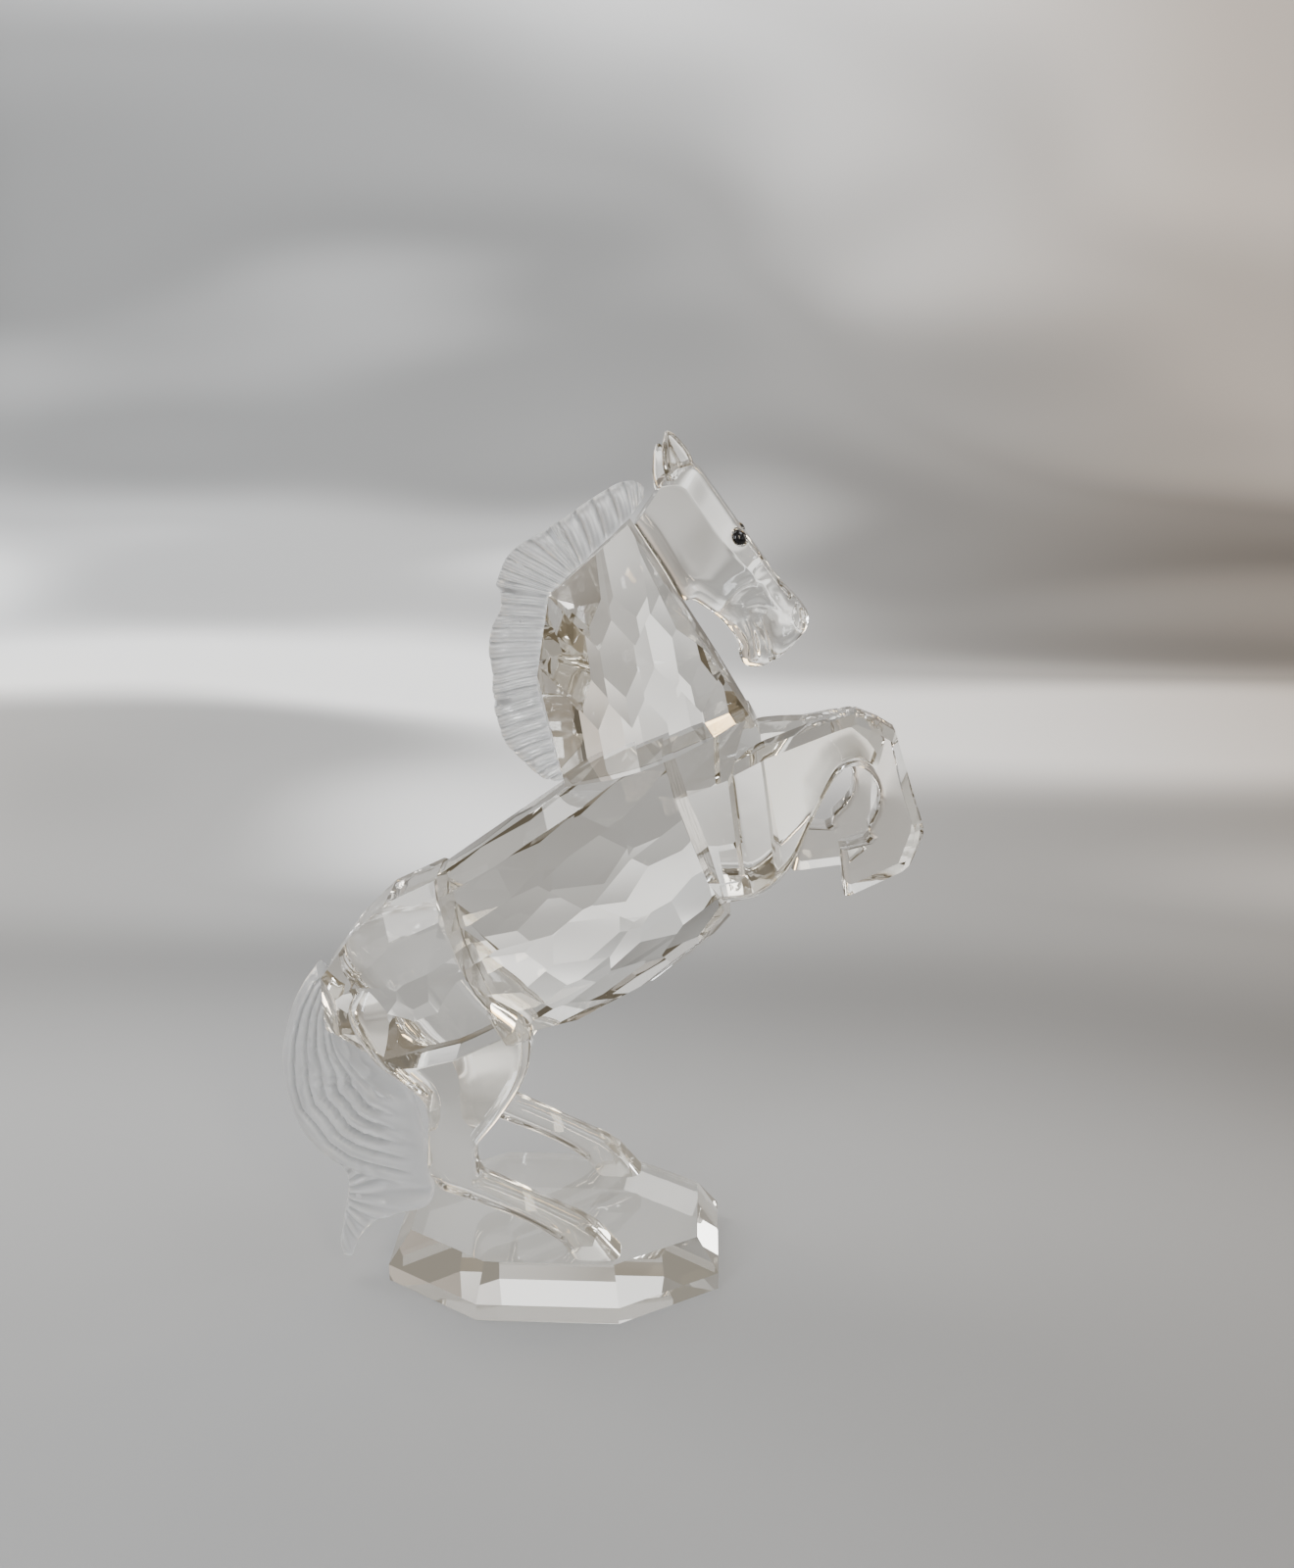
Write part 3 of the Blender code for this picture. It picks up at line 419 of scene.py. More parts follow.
def body_planes(inflate):
    """Rows of facets round the barrel, staggered from row to row."""
    centre = grid(BARREL_CENTRE[0], 0.0, BARREL_CENTRE[1])
    along = unit(BARREL_SLOPE)
    up = unit(BARREL_SLOPE + 0.5 * math.pi)
    across = Vector((0.0, 1.0, 0.0))
    planes = []
    for row in range(BARREL_ROWS):
        turn_angle = 2.0 * math.pi * row / BARREL_ROWS
        side_row = min(row, BARREL_ROWS - row)
        spread = min(BARREL_BOW_SPREAD * (1.0 - math.cos(turn_angle)), 1.0)
        bow = spread / (2.0 * BARREL_BOW)
        for place in BARREL_PLACES[row % 2]:
            uneven = math.sin(UNEVEN_ROUND[0] * side_row + UNEVEN_ROUND[1] * place)
            sway = BARREL_SWAY * spread * math.sin(turn_angle) * uneven
            angle = turn_angle + 2.0 * math.pi * sway / BARREL_ROWS
            rise = 0.5 * BODY_HEIGHT * math.cos(angle)
            side = 0.5 * BODY_WIDTH * math.sin(angle)
            radial = math.cos(angle) / (0.5 * BODY_HEIGHT) * up
            radial += math.sin(angle) / (0.5 * BODY_WIDTH) * across
            radial.normalize()
            uneven = math.cos(UNEVEN_ALONG[0] * side_row + UNEVEN_ALONG[1] * place)
            shift = (place + BARREL_SWAY * spread * uneven) * BARREL_STAGGER
            point = centre + rise * up + side * across - bow * shift * shift * radial + shift * along
            normal = (radial + 2.0 * bow * shift * along).normalized()
            planes.append((point + inflate * normal, normal))
    return planes


def make_body():
    planes = body_planes(0.0)
    planes += [seam_plane(CHEST_SEAM, 1.0), seam_plane(REAR_SEAM, -1.0), seam_plane(NECK_SEAT, 1.0)]
    obj = mesh_object("body_glass", polyhedron(planes, grid(BARREL_CENTRE[0], 0.0, BARREL_CENTRE[1])))
    show(obj, crystal("body crystal", 2.0), "crystal_body", "body")


def barrel_room():
    """The barrel's own form, a hair smaller than it, to cut from a piece that is glued to it."""
    planes = body_planes(-OVERLAP)
    for seam, side in ((CHEST_SEAM, 1.0), (REAR_SEAM, -1.0), (NECK_SEAT, 1.0)):
        planes.append(seam_plane(seam, side, 0.5 * SEAM))
    return mesh_object("barrel_room", polyhedron(planes, grid(BARREL_CENTRE[0], 0.0, BARREL_CENTRE[1])))


# Neck

NECK_WIDTH = 0.0205
POLL_WIDTH = 0.0094
NECK_OUTLINE = [(2.6, 69.0), (-1.2, 84.6), (0.6, 95.6), (11.0, 105.1)]
NECK_CENTRE = (12.0, 88.0)
CREST_BEVEL = math.radians(42.0)
CREST_WIDTH = 0.0254
FRONT_BEVEL = math.radians(45.0)
FRONT_WIDTH = 0.0088
FRONT_TAPER = 0.09
NECK_BASE = (15.2, 74.8)
POLL = (9.6, 104.5)
NECK_WIDEST = 0.4
NECK_BOW_ALONG = 0.080
NECK_BOW_ACROSS = 0.0125
NECK_FAN = 0.0096
NECK_FAN_CLOSING = 0.62

# Rows of facets on the side of the neck: distance from the seat as a share of its length, number of facets
NECK_ROWS = ((0.07, 5), (0.40, 4), (0.76, 3))


def neck_planes():
    """Crest strips, front bevels and, on each side, rows of long facets that fan out from the poll."""
    planes = rounded_edges(NECK_OUTLINE, NECK_CENTRE, 0.5 * CREST_WIDTH, (0.0, CREST_BEVEL))
    (x, z), degrees = HEAD_SEAM
    for side in (1.0, -1.0):
        edge = (unit(math.radians(degrees + 90.0)) + Vector((0.0, side * FRONT_TAPER, 0.0))).normalized()
        normal = unit(math.radians(degrees), side * FRONT_BEVEL)
        normal = (normal - edge * normal.dot(edge)).normalized()
        planes.append((grid(x, -side * 0.5 * FRONT_WIDTH, z), normal))
    seat = grid(NECK_BASE[0], 0.0, NECK_BASE[1])
    poll = grid(POLL[0], 0.0, POLL[1])
    along = (poll - seat).normalized()
    across = Vector((along.z, 0.0, -along.x))
    length = (poll - seat).length
    lean = 0.5 * (NECK_WIDTH - POLL_WIDTH) / length
    for share, count in NECK_ROWS:
        reach = share * length
        spread = NECK_FAN * (1.0 - NECK_FAN_CLOSING * share)
        past = reach - NECK_WIDEST * length
        slope_along = -lean - past / NECK_BOW_ALONG
        for i in range(count):
            v = spread * (2.0 * i / (count - 1) - 1.0)
            height = 0.5 * NECK_WIDTH - lean * reach - 0.5 * past * past / NECK_BOW_ALONG
            height -= 0.5 * v * v / NECK_BOW_ACROSS
            for side in (1.0, -1.0):
                point = seat + reach * along + v * across + Vector((0.0, side * height, 0.0))
                normal = Vector((0.0, side, 0.0)) - slope_along * along + v / NECK_BOW_ACROSS * across
                planes.append((point, normal.normalized()))
    return planes


def make_neck():
    planes = [seam_plane(NECK_SEAT, -1.0), seam_plane(HEAD_SEAM, 1.0, 0.5 * SEAM)] + neck_planes()
    obj = mesh_object("neck_glass", polyhedron(planes, grid(NECK_CENTRE[0], 0.0, NECK_CENTRE[1])))
    show(obj, crystal("neck crystal", 3.0), "crystal_neck", "neck")


def neck_room():
    """The neck's own form, a hair smaller than it, to cut from the mane."""
    planes = [seam_plane(NECK_SEAT, -1.0, 0.5 * SEAM), seam_plane(HEAD_SEAM, 1.0, 0.5 * SEAM + OVERLAP)]
    planes += [(point - OVERLAP * normal, normal) for point, normal in neck_planes()]
    return mesh_object("neck_room", polyhedron(planes, grid(NECK_CENTRE[0], 0.0, NECK_CENTRE[1])))


# Hindquarters

RUMP_OUTLINE = [
    (-4.4, 34.0), (-13.5, 29.5), (-25.5, 26.4), (-33.1, 31.4),
    (-33.5, 39.6), (-28.4, 46.8), (-23.2, 52.1), (-16.0, 55.7),
]
RUMP_CENTRE = (-18.5, 41.0)
RUMP_TILTS = (0.0, math.radians(33.0), math.radians(58.0))
FLANK_CENTRE = (-17.9, 43.8)

# Facets round the flat of the flank: direction in degrees, distance in grid steps, fall in degrees
FLANK_FACETS = (
    (0.0, 2.2, 26.0), (60.0, 2.9, 27.0), (120.0, 2.9, 27.0),
    (180.0, 2.2, 23.0), (240.0, 2.9, 13.0), (300.0, 2.9, 13.0),
)

# Hind leg: back edge x z, front edge x z, thickness as a share, share of the way out to the hoof
HIND_LEG = [
    (-25.5, 43.0, -11.5, 45.2, 1.15, 0.00),
    (-27.8, 37.9, -6.6, 41.0, 1.86, 0.00),
    (-24.9, 31.4, -2.6, 36.9, 1.85, 0.15),
    (-20.6, 27.6, -2.3, 32.0, 1.70, 0.30),
    (-18.0, 25.0, -3.7, 27.4, 1.55, 0.45),
    (-17.2, 21.8, -6.8, 22.4, 1.35, 0.65),
    (-17.4, 18.1, -9.9, 18.1, 1.20, 0.85),
    (-17.5, 13.8, -10.2, 15.4, 1.15, 1.00),
    (-15.8, 10.7, -9.7, 12.7, 1.05, 1.00),
    (-11.6, 8.8, -7.4, 11.5, 0.95, 1.00),
    (-5.0, 5.9, -3.2, 9.4, 0.90, 1.00),
    (-0.6, 3.4, 1.4, 7.1, 0.96, 1.00),
    (1.6, 1.8, 4.6, 5.5, 1.02, 1.00),
]
HIND_LEG_STEPS = 7
HIND_HOOF = [
    (2.0, 1.2, 6.9, 3.9, 1.04, 1.00),
    (3.1, -0.33, 10.3, -0.33, HOOF_WIDTH / HIND_LEG_WIDTH, 1.00),
]
HIND_HOOF_STEPS = 4
THIGH_INSET = 0.0050
HIND_LEG_ROUNDING = 0.34


def rump_planes():
    """Rounded rump with its seams, and a flat with facets round it on each flank."""
    planes = [seam_plane(REAR_SEAM, 1.0)]
    planes += rounded_edges(RUMP_OUTLINE, RUMP_CENTRE, 0.5 * RUMP_WIDTH, RUMP_TILTS)
    planes.append(seam_plane(TAIL_SEAT, 1.0, 0.5 * SEAM))
    for side in (1.0, -1.0):
        centre = grid(FLANK_CENTRE[0], -side * 0.5 * RUMP_WIDTH, FLANK_CENTRE[1])
        planes.append((centre, Vector((0.0, -side, 0.0))))
        for degrees, out, fall in FLANK_FACETS:
            way = math.radians(degrees)
            edge = centre + out * MM * unit(way)
            planes.append((edge, unit(way, side * math.radians(90.0 - fall))))
    return planes


def hind_leg_rings(side):
    """Rings of a hind leg from inside the rump to the sole; the left one leads by a little."""
    rings = []
    start = 0.5 * RUMP_WIDTH - THIGH_INSET
    rows = flowing(HIND_LEG, HIND_LEG_STEPS)
    rows += flowing([HIND_LEG[-1], HIND_HOOF[0]], HIND_HOOF_STEPS)[1:] + [HIND_HOOF[1]]
    for back_x, back_z, front_x, front_z, share, out in rows:
        middle = start + out * (0.5 * HIND_LEG_SPACING - start)
        lead = Vector((out * FAR_HIND_LEG_LEAD if side > 0.0 else 0.0, 0.0, 0.0))
        low = grid(back_x, 0.0, back_z) + lead
        high = grid(front_x, 0.0, front_z) + lead
        width = share * HIND_LEG_WIDTH
        outline = rounded_outline((high - low).length, width, HIND_LEG_ROUNDING * width)
        rings.append(section(low, high, side * middle, 0.5 * width, outline))
    return rings


def make_hindquarters():
    rump = mesh_object("rump", polyhedron(rump_planes(), grid(RUMP_CENTRE[0], 0.0, RUMP_CENTRE[1])))
    parts = [(mesh_object("leg", loft(hind_leg_rings(side))), "UNION") for side in (1.0, -1.0)]
    obj = combined("hindquarters_glass", rump, parts + [(barrel_room(), "DIFFERENCE")])
    shade(obj, 11.5)
    # The rump gets a stronger painted glow, which lightens its dark lower corner
    finish = crystal("hindquarters crystal", 4.0, wave=0.04, glow=RUMP_PAINTED_GLOW)
    show(obj, finish, "crystal_hindquarters", "hindquarters")


# Chest and forelegs

CHEST_OUTLINE = [
    (15.0, 75.2), (28.4, 80.9), (28.9, 77.4), (32.4, 71.0), (33.0, 62.6),
    (32.0, 56.4), (28.9, 53.4), (24.4, 52.4), (20.0, 52.4),
]
CHEST_CENTRE = (22.0, 68.0)
CHEST_BEVEL = math.radians(38.0)

# Foreleg: notch side x z, outer side x z
FORELEG = [
    (24.4, 55.6, 20.6, 71.0),
    (29.2, 56.6, 24.8, 75.0),
    (33.0, 60.4, 29.4, 77.6),
    (35.6, 66.8, 34.4, 79.7),
    (38.2, 72.8, 38.2, 81.3),
    (40.2, 74.8, 41.0, 82.3),
    (42.0, 74.8, 43.8, 81.2),
    (43.5, 73.4, 46.0, 79.9),
    (44.4, 71.2, 47.7, 74.8),
    (44.3, 69.2, 49.0, 71.0),
    (43.3, 66.6, 50.1, 67.9),
    (43.6, 65.2, 50.5, 66.6),
]
FOREHOOF = [
    (43.0, 64.5, 50.5, 65.9),
    (39.6, 63.5, 50.4, 65.1),
    (40.5, 56.8, 49.0, 61.3),
]
ELBOW = (26.0, 68.0)
KNEE = (43.5, 76.5)
SHOULDER_ROWS = 3
KNEE_ROW = 5
KNEE_ROWS = 3
FAR_SHIFT = (-1.2, -1.4)
FORELEG_STEPS = 8

# Section of a foreleg: depths along and across it of the front edge's chamfer and the notch edge's rounding
FORELEG_CHAMFER = (0.0013, 0.0010)
FORELEG_ROUNDING = (0.0011, 0.0014)
FORELEG_ROUNDING_STEPS = 6


def turned(x, z, pivot, angle):
    """Grid place turned forwards and down about a pivot."""
    dx = x - pivot[0]
    dz = z - pivot[1]
    c = math.cos(angle)
    s = math.sin(angle)
    return pivot[0] + dx * c + dz * s, pivot[1] + dz * c - dx * s


def foreleg_outline(length, width):
    """Flat plate: wide chamfers on its front edge, a round fire-polished edge on its notch side."""
    side = 1.0 - 2.0 * FORELEG_CHAMFER[1] / width
    front = 1.0 - 2.0 * FORELEG_CHAMFER[0] / length
    half = [(1.0, side), (front, 1.0)]
    for i in range(FORELEG_ROUNDING_STEPS + 1):
        angle = 0.5 * math.pi * i / FORELEG_ROUNDING_STEPS
        along = -1.0 + 2.0 * FORELEG_ROUNDING[0] * (1.0 - math.sin(angle)) / length
        across = 1.0 - 2.0 * FORELEG_ROUNDING[1] * (1.0 - math.cos(angle)) / width
        half.append((along, across))
    return half + [(u, -v) for u, v in reversed(half)]


def foreleg_rings(side):
    """Rings of a foreleg from inside the chest to the hoof; the left one hangs lower."""
    rows = []
    smooth = flowing(FORELEG, FORELEG_STEPS)
    for i, row in enumerate(smooth):
        k = min(i // FORELEG_STEPS, len(FORELEG) - 2)
        t = i / FORELEG_STEPS - k
        out_x = (1.0 - t) * FORELEG[k][2] + t * FORELEG[k + 1][2]
        out_z = (1.0 - t) * FORELEG[k][3] + t * FORELEG[k + 1][3]
        rows.append((i / FORELEG_STEPS, row[0], row[1], out_x, out_z))
    rows += [(len(FORELEG) + i, *row) for i, row in enumerate(FOREHOOF)]
    rings = []
    for place, in_x, in_z, out_x, out_z in rows:
        points = [(in_x, in_z), (out_x, out_z)]
        if side > 0.0:
            free = min(place / SHOULDER_ROWS, 1.0)
            fold = FAR_HOOF_FOLD * min(max((place - KNEE_ROW) / KNEE_ROWS, 0.0), 1.0)
            points = [turned(x, z, KNEE, fold) for x, z in points]
            points = [turned(x, z, ELBOW, free * FAR_FORELEG_DROP) for x, z in points]
            points = [(x + free * FAR_SHIFT[0], z + free * FAR_SHIFT[1]) for x, z in points]
        low = grid(points[0][0], 0.0, points[0][1])
        high = grid(points[1][0], 0.0, points[1][1])
        outline = foreleg_outline((high - low).length, FORELEG_WIDTH)
        rings.append(section(low, high, 0.5 * side * FORELEG_SPACING, 0.5 * FORELEG_WIDTH, outline))
    return rings


def make_forelegs():
    planes = [seam_plane(CHEST_SEAM, -1.0), seam_plane(NECK_SEAT, 1.0)]
    planes += rounded_edges(CHEST_OUTLINE, CHEST_CENTRE, 0.5 * CHEST_WIDTH, (0.0, CHEST_BEVEL))
    for side in (1.0, -1.0):
        point = grid(CHEST_CENTRE[0], side * 0.5 * CHEST_WIDTH, CHEST_CENTRE[1])
        planes.append((point, Vector((0.0, side, 0.0))))
    chest = mesh_object("chest", polyhedron(planes, grid(CHEST_CENTRE[0], 0.0, CHEST_CENTRE[1])))
    parts = [(mesh_object("leg", loft(foreleg_rings(side))), "UNION") for side in (1.0, -1.0)]
    obj = combined("forelegs_glass", chest, parts + [(barrel_room(), "DIFFERENCE")])
    shade(obj, 22.0)
    show(obj, crystal("foreleg crystal", 5.0, wave=0.05), "crystal_forelegs", "forelegs")


# Head

# Half sections of the cheek and the muzzle: shares along and across, from the jaw to the forehead
CHEEK = [
    (-1.0, 0.26), (-0.95, 0.52), (-0.87, 0.74), (-0.76, 0.90), (-0.62, 0.98), (-0.50, 1.0), (-0.3, 1.0),
    (0.1, 1.0), (0.44, 1.0), (0.55, 0.995), (0.61, 0.945), (0.93, 0.60), (1.0, 0.44),
]
MUZZLE = [
    (-1.0, 0.30), (-0.93, 0.56), (-0.82, 0.76), (-0.68, 0.90), (-0.50, 0.97), (-0.34, 1.0), (-0.1, 1.0),
    (0.14, 0.98), (0.38, 0.94), (0.56, 0.86), (0.72, 0.74), (0.87, 0.54), (1.0, 0.26),
]

# Head: jaw side x z, forehead side x z, half width as a share of the head's, share of the muzzle's section
HEAD = [
    (11.8, 104.9, 16.4, 111.8, 0.90, 0.00),
    (13.6, 102.1, 19.4, 112.6, 0.92, 0.00),
    (15.7, 98.9, 21.9, 109.7, 0.94, 0.00),
    (18.0, 95.4, 24.3, 106.5, 0.97, 0.00),
    (19.3, 95.3, 26.5, 103.6, 0.97, 0.06),
    (20.8, 94.4, 28.5, 101.0, 0.92, 0.20),
    (22.8, 93.0, 30.1, 98.9, 0.86, 0.45),
    (24.6, 91.1, 31.9, 96.8, 0.78, 0.70),
    (25.7, 89.3, 33.6, 95.1, 0.74, 0.90),
    (25.9, 87.7, 34.9, 93.2, 0.72, 1.00),
    (26.6, 86.5, 34.7, 91.4, 0.66, 1.00),
    (28.0, 86.1, 33.4, 89.7, 0.52, 1.00),
    (29.6, 86.6, 32.0, 88.3, 0.34, 1.00),
]
HEAD_STEPS = 9
HEAD_SECTION_STEPS = 4
NOSE_SHARE = 0.72

# Nostril: place, half lengths and lean of its oval, width and depth of its hollow,
# then the rim's place, width and height
NOSTRIL = (33.6, 93.1)
NOSTRIL_OVAL = (0.85, 1.75)
NOSTRIL_LEAN = 0.28
NOSTRIL_HOLLOW = (0.72, 0.00085)
NOSTRIL_RIM = (1.1, 0.28, 0.00022)

EYE_PLACE = (25.4, 103.8)
EYE_SHARE = 0.311
EYE_DIRECTION = (0.60, 0.65, 0.46)
EYE_DIAMETER = 0.0021
EYE_BULGE = 0.0008
EYE_SEGMENTS = 40
SOCKET_ROOM = 0.0003
EYE_LID = (1.5, 0.35, 0.00016)  # place, width, height
RELIEF_START = 0.0016           # the relief fades out closer than this to the head's middle

# Grooves moulded into both sides of the head: points x z, width in grid steps, depth in metres
HEAD_GROOVES = (
    ([(26.9, 98.0), (25.3, 97.2), (24.4, 96.3), (23.5, 94.9)], 0.80, 0.00036),
    ([(26.6, 93.0), (27.3, 91.6), (27.7, 89.9), (27.9, 88.0)], 0.55, 0.00030),
    ([(28.4, 93.2), (29.3, 91.8), (29.9, 90.3), (30.2, 88.9)], 0.60, 0.00030),
    ([(26.4, 94.8), (27.8, 95.2), (29.6, 94.7), (31.0, 93.7)], 0.75, 0.00024),
)


def distance(x, z, line):
    """Distance in grid steps from many points to a line of grid points."""
    nearest = np.full(x.shape, 1.0e9)
    for (x0, z0), (x1, z1) in zip(line, line[1:]):
        dx = x1 - x0
        dz = z1 - z0
        t = np.clip(((x - x0) * dx + (z - z0) * dz) / (dx * dx + dz * dz), 0.0, 1.0)
        nearest = np.minimum(nearest, np.hypot(x - x0 - t * dx, z - z0 - t * dz))
    return nearest


def bell(d, width):
    """Bell curve, 1 at its middle."""
    return np.exp(-(d / width) ** 2)


def carve_head(obj):
    """Press the grooves, the nostrils and the lids into both sides of the head."""
    count = len(obj.data.vertices)
    co = np.empty(3 * count)
    obj.data.vertices.foreach_get("co", co)
    co = co.reshape(-1, 3)
    x = co[:, 0] / MM
    z = (co[:, 2] - SOLE_HEIGHT) / MM
    y = np.abs(co[:, 1])
    change = np.zeros(count)
    for line, width, depth in HEAD_GROOVES:
        change -= depth * bell(distance(x, z, line), width)
    dx = x - NOSTRIL[0]
    dz = z - NOSTRIL[1]
    oval = np.hypot(dx / NOSTRIL_OVAL[0] + dz * NOSTRIL_LEAN, dz / NOSTRIL_OVAL[1])
    place, width, height = NOSTRIL_RIM
    rim = height * bell(oval - place, width)
    change += rim - NOSTRIL_HOLLOW[1] * bell(oval, NOSTRIL_HOLLOW[0])
    place, width, height = EYE_LID
    eye = np.hypot(x - EYE_PLACE[0], z - EYE_PLACE[1])
    change += height * bell(eye - place, width)
    weight = np.clip(y / RELIEF_START, 0.0, 1.0)
    co[:, 1] = np.sign(co[:, 1]) * np.maximum(y + change * weight, 0.0)
    obj.data.vertices.foreach_set("co", co.ravel())
    obj.data.update()


def head_rings():
    """Rings of the head from the poll to the lips, passing from the cheek's section to the muzzle's."""
    muzzle_share = MUZZLE_WIDTH / HEAD_WIDTH / NOSE_SHARE
    cheek = flowing(CHEEK, HEAD_SECTION_STEPS)
    muzzle = flowing(MUZZLE, HEAD_SECTION_STEPS)
    rings = []
    for low_x, low_z, high_x, high_z, share, kind in flowing(HEAD, HEAD_STEPS):
        blend = min(max(kind, 0.0), 1.0)
        half = 0.5 * HEAD_WIDTH * share * (1.0 + blend * (muzzle_share - 1.0))
        right = []
        for (u0, v0), (u1, v1) in zip(cheek, muzzle):
            right.append((u0 + blend * (u1 - u0), v0 + blend * (v1 - v0)))
        outline = right + [(u, -v) for u, v in reversed(right)]
        rings.append(section(grid(low_x, 0.0, low_z), grid(high_x, 0.0, high_z), 0.0, half, outline))
    return rings


# Ears: side of the head, base x z, tip x z
EARS = ((-1.0, (18.1, 110.9), (16.0, 116.98)), (1.0, (16.3, 108.8), (14.7, 114.7)))
EAR_WIDTH = 0.0048
EAR_FOOT = 0.24
EAR_SPLAY = 0.34
EAR_OPENING = (0.72, 0.70, 0.0)
EAR_CUP = 0.75
EAR_CUP_POWER = 3
EAR_CUP_RISE = 4.0
EAR_POINTS = 28
EAR_STEPS = 5

# Ear: way from base to tip, width, thickness, all as shares
EAR_SECTIONS = (
    (0.0, 0.84, 0.50), (0.18, 1.0, 0.48), (0.42, 0.96, 0.42),
    (0.66, 0.72, 0.34), (0.86, 0.42, 0.24), (1.0, 0.10, 0.12),
)


def ear_rings(side, base, tip):
    """Rings of a pointed ear, hollowed on the side it opens to."""
    foot = grid(base[0], side * EAR_FOOT * HEAD_WIDTH, base[1])
    point = grid(tip[0], side * EAR_SPLAY * HEAD_WIDTH, tip[1])
    axis = (point - foot).normalized()
    opening = mirrored(EAR_OPENING, side)
    opening = (opening - axis * opening.dot(axis)).normalized()
    sideways = axis.cross(opening)
    rings = []
    for reach, spread, thickness in flowing(EAR_SECTIONS, EAR_STEPS):
        centre = foot.lerp(point, reach)
        half = 0.5 * EAR_WIDTH * spread
        deep = 0.5 * EAR_WIDTH * thickness
        ring = []
        for i in range(EAR_POINTS):
            angle = 2.0 * math.pi * i / EAR_POINTS
            cup = EAR_CUP * max(math.cos(angle), 0.0) ** EAR_CUP_POWER * min(EAR_CUP_RISE * reach, 1.0)
            outwards = deep * (math.cos(angle) - cup)
            ring.append(centre + half * math.sin(angle) * sideways + outwards * opening)
        rings.append(ring)
    return rings


def lens(centre, normal, radius, depth, segments=32):
    """Flattened ball that faces along a normal."""
    bm = bmesh.new()
    bmesh.ops.create_uvsphere(bm, u_segments=segments, v_segments=segments // 2, radius=1.0)
    aim = normal.to_track_quat("Z", "X")
    for vert in bm.verts:
        vert.co = centre + aim @ Vector((vert.co.x * radius, vert.co.y * radius, vert.co.z * depth))
    return bm


def eye_form(side, room=0.0, **detail):
    """Form of an eye on one side, larger by some room."""
    centre = grid(EYE_PLACE[0], side * EYE_SHARE * HEAD_WIDTH, EYE_PLACE[1])
    aim = mirrored(EYE_DIRECTION, side)
    return lens(centre, aim, 0.5 * EYE_DIAMETER + room, EYE_BULGE + room, **detail)


# Mouth: x z, distance from the head's middle, half the opening, half the depth of the cut
MOUTH = (
    (30.6, 86.2, 0.0024, 0.00055, 0.0014),
    (29.7, 89.4, 0.0033, 0.00040, 0.0010),
    (28.7, 92.9, 0.0037, 0.00015, 0.0004),
)
MOUTH_STEPS = 4
MOUTH_POINTS = 12


def mouth_rings(side):
    """Rings of the wedge that opens one side of the mouth."""
    along = (grid(MOUTH[0][0], 0.0, MOUTH[0][1]) - grid(MOUTH[-1][0], 0.0, MOUTH[-1][1])).normalized()
    across = Vector((-along.z, 0.0, along.x))
    rings = []
    for x, z, out, opening, depth in flowing(MOUTH, MOUTH_STEPS):
        centre = grid(x, side * out, z)
        ring = []
        for i in range(MOUTH_POINTS):
            angle = 2.0 * math.pi * i / MOUTH_POINTS
            inwards = Vector((0.0, depth * math.sin(angle), 0.0))
            ring.append(centre + opening * math.cos(angle) * across + inwards)
        rings.append(ring)
    return rings


def make_head():
    head = mesh_object("head_form", loft(head_rings()))
    carve_head(head)
    parts = [(mesh_object("ear", loft(ear_rings(*ear))), "UNION") for ear in EARS]
    for side in (1.0, -1.0):
        parts.append((mesh_object("socket", eye_form(side, SOCKET_ROOM)), "DIFFERENCE"))
        parts.append((mesh_object("mouth", loft(mouth_rings(side))), "DIFFERENCE"))
    obj = combined("head_glass", head, parts)
    shade(obj, 38.0)
    show(obj, crystal("head crystal", 6.0, wave=0.03), "crystal_head", "head")


# Mane

# Locks of the mane: edge on the neck x z, free edge x z
MANE_LOCKS = [
    [
        (13.0, 108.4, 13.1, 109.5), (12.2, 107.2, 11.9, 110.3), (11.1, 105.8, 9.8, 110.1),
        (9.0, 103.6, 7.4, 108.8), (6.8, 101.6, 4.9, 107.2), (5.0, 99.8, 2.2, 105.3),
        (4.3, 99.2, 0.7, 104.5),
    ],
    [
        (4.2, 99.1, 0.3, 104.0), (3.2, 98.2, -3.1, 102.1), (2.0, 97.0, -5.0, 100.4),
        (1.1, 96.2, -6.0, 98.3), (0.5, 95.6, -6.6, 96.6),
    ],
    [
        (0.3, 95.2, -6.0, 95.8), (0.1, 93.2, -6.1, 93.4), (-0.3, 91.0, -7.3, 90.9),
        (-0.7, 88.3, -7.8, 87.8), (-1.0, 86.0, -7.4, 84.5), (-1.2, 84.0, -7.5, 82.4),
        (-1.1, 82.4, -7.2, 80.8),
    ],
    [
        (-1.0, 82.0, -7.4, 79.8), (-0.4, 79.7, -6.8, 77.5), (0.2, 77.2, -6.0, 74.9),
        (0.9, 74.4, -3.8, 72.4), (1.6, 71.6, -1.1, 69.9), (2.2, 69.9, 1.2, 69.5),
    ],
]
MANE_RIDGES = (7, 6, 9, 8)
MANE_ROWS_PER_RIDGE = 14
MANE_GROOVE_DEPTH = 0.00090
MANE_LEAN = 0.16                # the ridges' drift towards the free edge, in ridges
MANE_BEND = 0.10
MANE_FOLD_SHARE = 0.82
MANE_STRANDS = 3
MANE_SECTION_STEPS = 5
MANE_HALF_SECTION = [(-1.0, 0.9), (-0.35, 1.0), (0.3, 0.94), (0.78, 0.66), (1.0, 0.24)]


